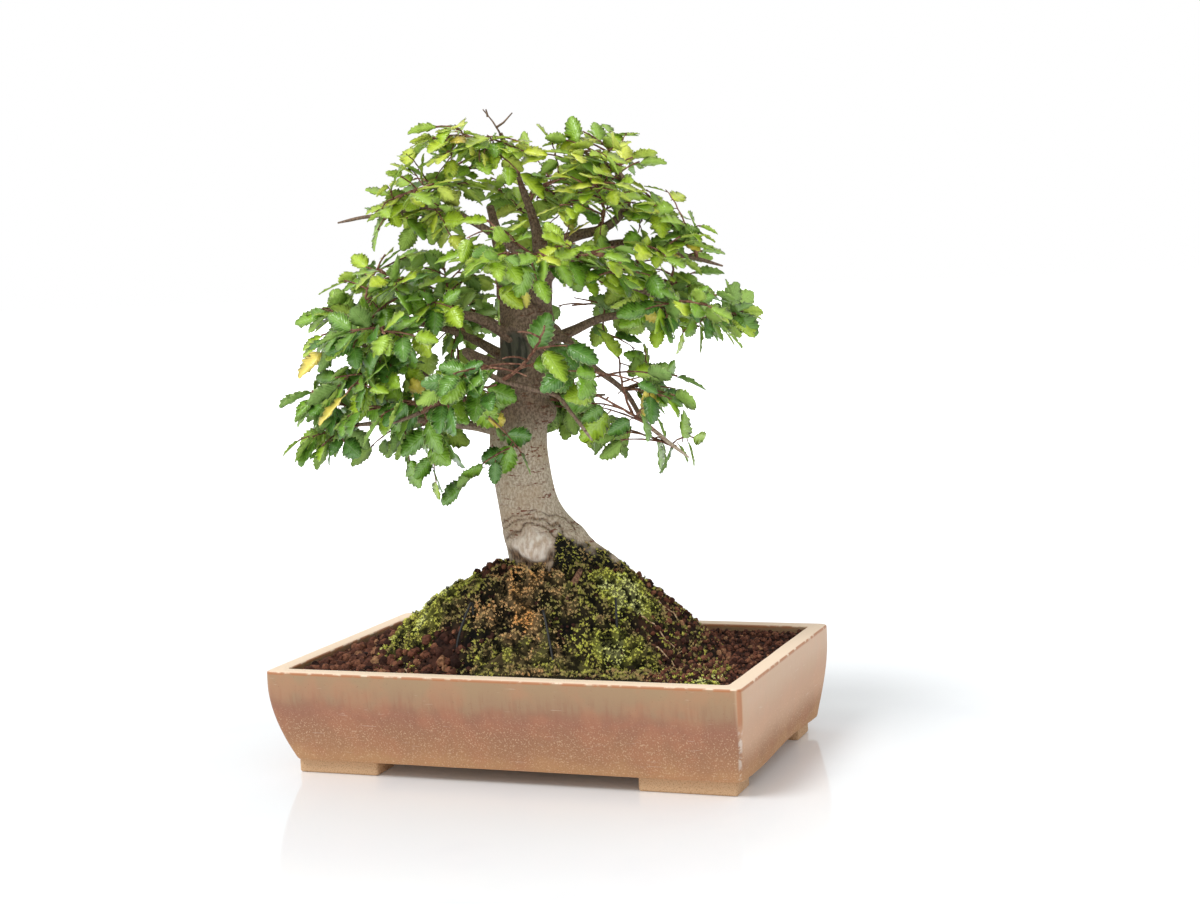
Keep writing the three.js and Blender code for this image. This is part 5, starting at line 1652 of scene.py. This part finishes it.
# Build
mossGrowth = mossMaterial()
makePot(clayMaterial())
print("pot made")
makeSoil(soilMaterial("soil", False))
makeCrumbs(soilMaterial("crumbs", True))
print("soil made")
lowBark = makeWood(barkMaterial())
print("wood made")
shoots = [shootShape(seed, 6, 1.1) for seed in (3, 19, 43)]
for number, (name, spot) in enumerate(mossSpots.items()):
    makeCushion(name, spot, shoots, mossGrowth, number)
makeCarpet(shoots, mossGrowth)
makeTrunkMoss(shoots, mossGrowth, lowBark)
print("moss made")
makePins(plainMaterial("blackWire", (14, 14, 15), (30, 30, 32), 0.5))
makeFineRoots(rootMaterial())
makeBarkStub(plainMaterial("stubBark", (84, 54, 40), (150, 110, 84), 0.85))
makeSprays([leafMaterial("leafFace", False), leafMaterial("leafBack", True), twigMaterial()])
print("sprays made")
screenMaterial = plainMaterial("screenPlastic", (24, 28, 26), (46, 52, 48), 0.6)
for side in ("left", "right"):
    node = frame["nodes"]["drain_screen_" + side]
    node.data.materials.clear()
    node.data.materials.append(screenMaterial)


# The studio: a pale glossy floor, soft white light, and the camera at the photograph's angle
studio = {
    # fade: the distances over which the floor's painted glow rises
    "floor": 24.0, "fade": (-0.05, 1.6), "world": 0.74, "sun": 1.7, "sunAngle": 24,
    "sunFrom": (-0.45, -0.75, 1.3), "tones": ((243, 247, 250), (239, 243, 247)),
}
view = {
    "yaw": 20.92, "pitch": 5.85, "roll": -2.50, "distance": 1.368, "right": 0.0275, "up": 0.2007,
    "lens": 61.2,
}


def makeFloor():
    bm = bmesh.new()
    bmesh.ops.create_grid(bm, x_segments=1, y_segments=1, size=studio["floor"] / 2)
    floor = stand("floor", asMesh(bm, "floor"))
    material, tree, shader, place = newMaterial("paleFloor", Roughness=0.09)
    giveColour(tree, shader, twoTone(tree, patches(tree, place, 9.0, 5.0, 0.5, 0.75), studio["tones"]))
    # painted light: the floor glows white, more the further it lies from the middle, which fades it into the
    # white backdrop and lifts the shade near the pot a little
    far = put(tree, "ShaderNodeVectorMath", {0: place}, operation="LENGTH").outputs["Value"]
    tree.links.new(between(tree, far, *studio["fade"]), shader.inputs["Emission Strength"])
    shader.inputs["Emission Color"].default_value = (1, 1, 1, 1)
    floor.data.materials.append(material)


def makeLight():
    world = bpy.data.worlds.new("studio")
    world.use_nodes = True
    seenDirect = put(world.node_tree, "ShaderNodeLightPath").outputs["Is Camera Ray"]
    brightness = {"Value": seenDirect, "To Min": studio["world"]}
    strength = put(world.node_tree, "ShaderNodeMapRange", brightness).outputs[0]
    backdrop = world.node_tree.nodes["Background"]
    backdrop.inputs["Color"].default_value = (1, 1, 1, 1)
    world.node_tree.links.new(strength, backdrop.inputs["Strength"])
    bpy.context.scene.world = world
    light = bpy.data.lights.new("daylight", "SUN")
    light.energy = studio["sun"]
    light.angle = math.radians(studio["sunAngle"])
    lamp = stand("daylight", light)
    lamp.rotation_euler = (-Vector(studio["sunFrom"])).to_track_quat("-Z", "Y").to_euler()
    bpy.context.scene.view_settings.view_transform = "Standard"


def makeCamera():
    yaw, pitch, roll = (math.radians(view[key]) for key in ("yaw", "pitch", "roll"))
    ahead = Vector((-math.sin(yaw) * math.cos(pitch), math.cos(yaw) * math.cos(pitch), -math.sin(pitch)))
    level = Vector((math.cos(yaw), math.sin(yaw), 0))
    over = level.cross(ahead)
    right = level * math.cos(roll) + over * math.sin(roll)
    up = over * math.cos(roll) - level * math.sin(roll)
    place = toFrame.translation - ahead * view["distance"] + right * view["right"] + up * view["up"]
    data = bpy.data.cameras.new("camera")
    data.sensor_width = 36
    data.lens = view["lens"]
    camera = stand("camera", data)
    camera.matrix_world = Matrix.Translation(place) @ Matrix((right, up, -ahead)).transposed().to_4x4()
    bpy.context.scene.camera = camera


makeFloor()
makeLight()
makeCamera()
print("scene ready")
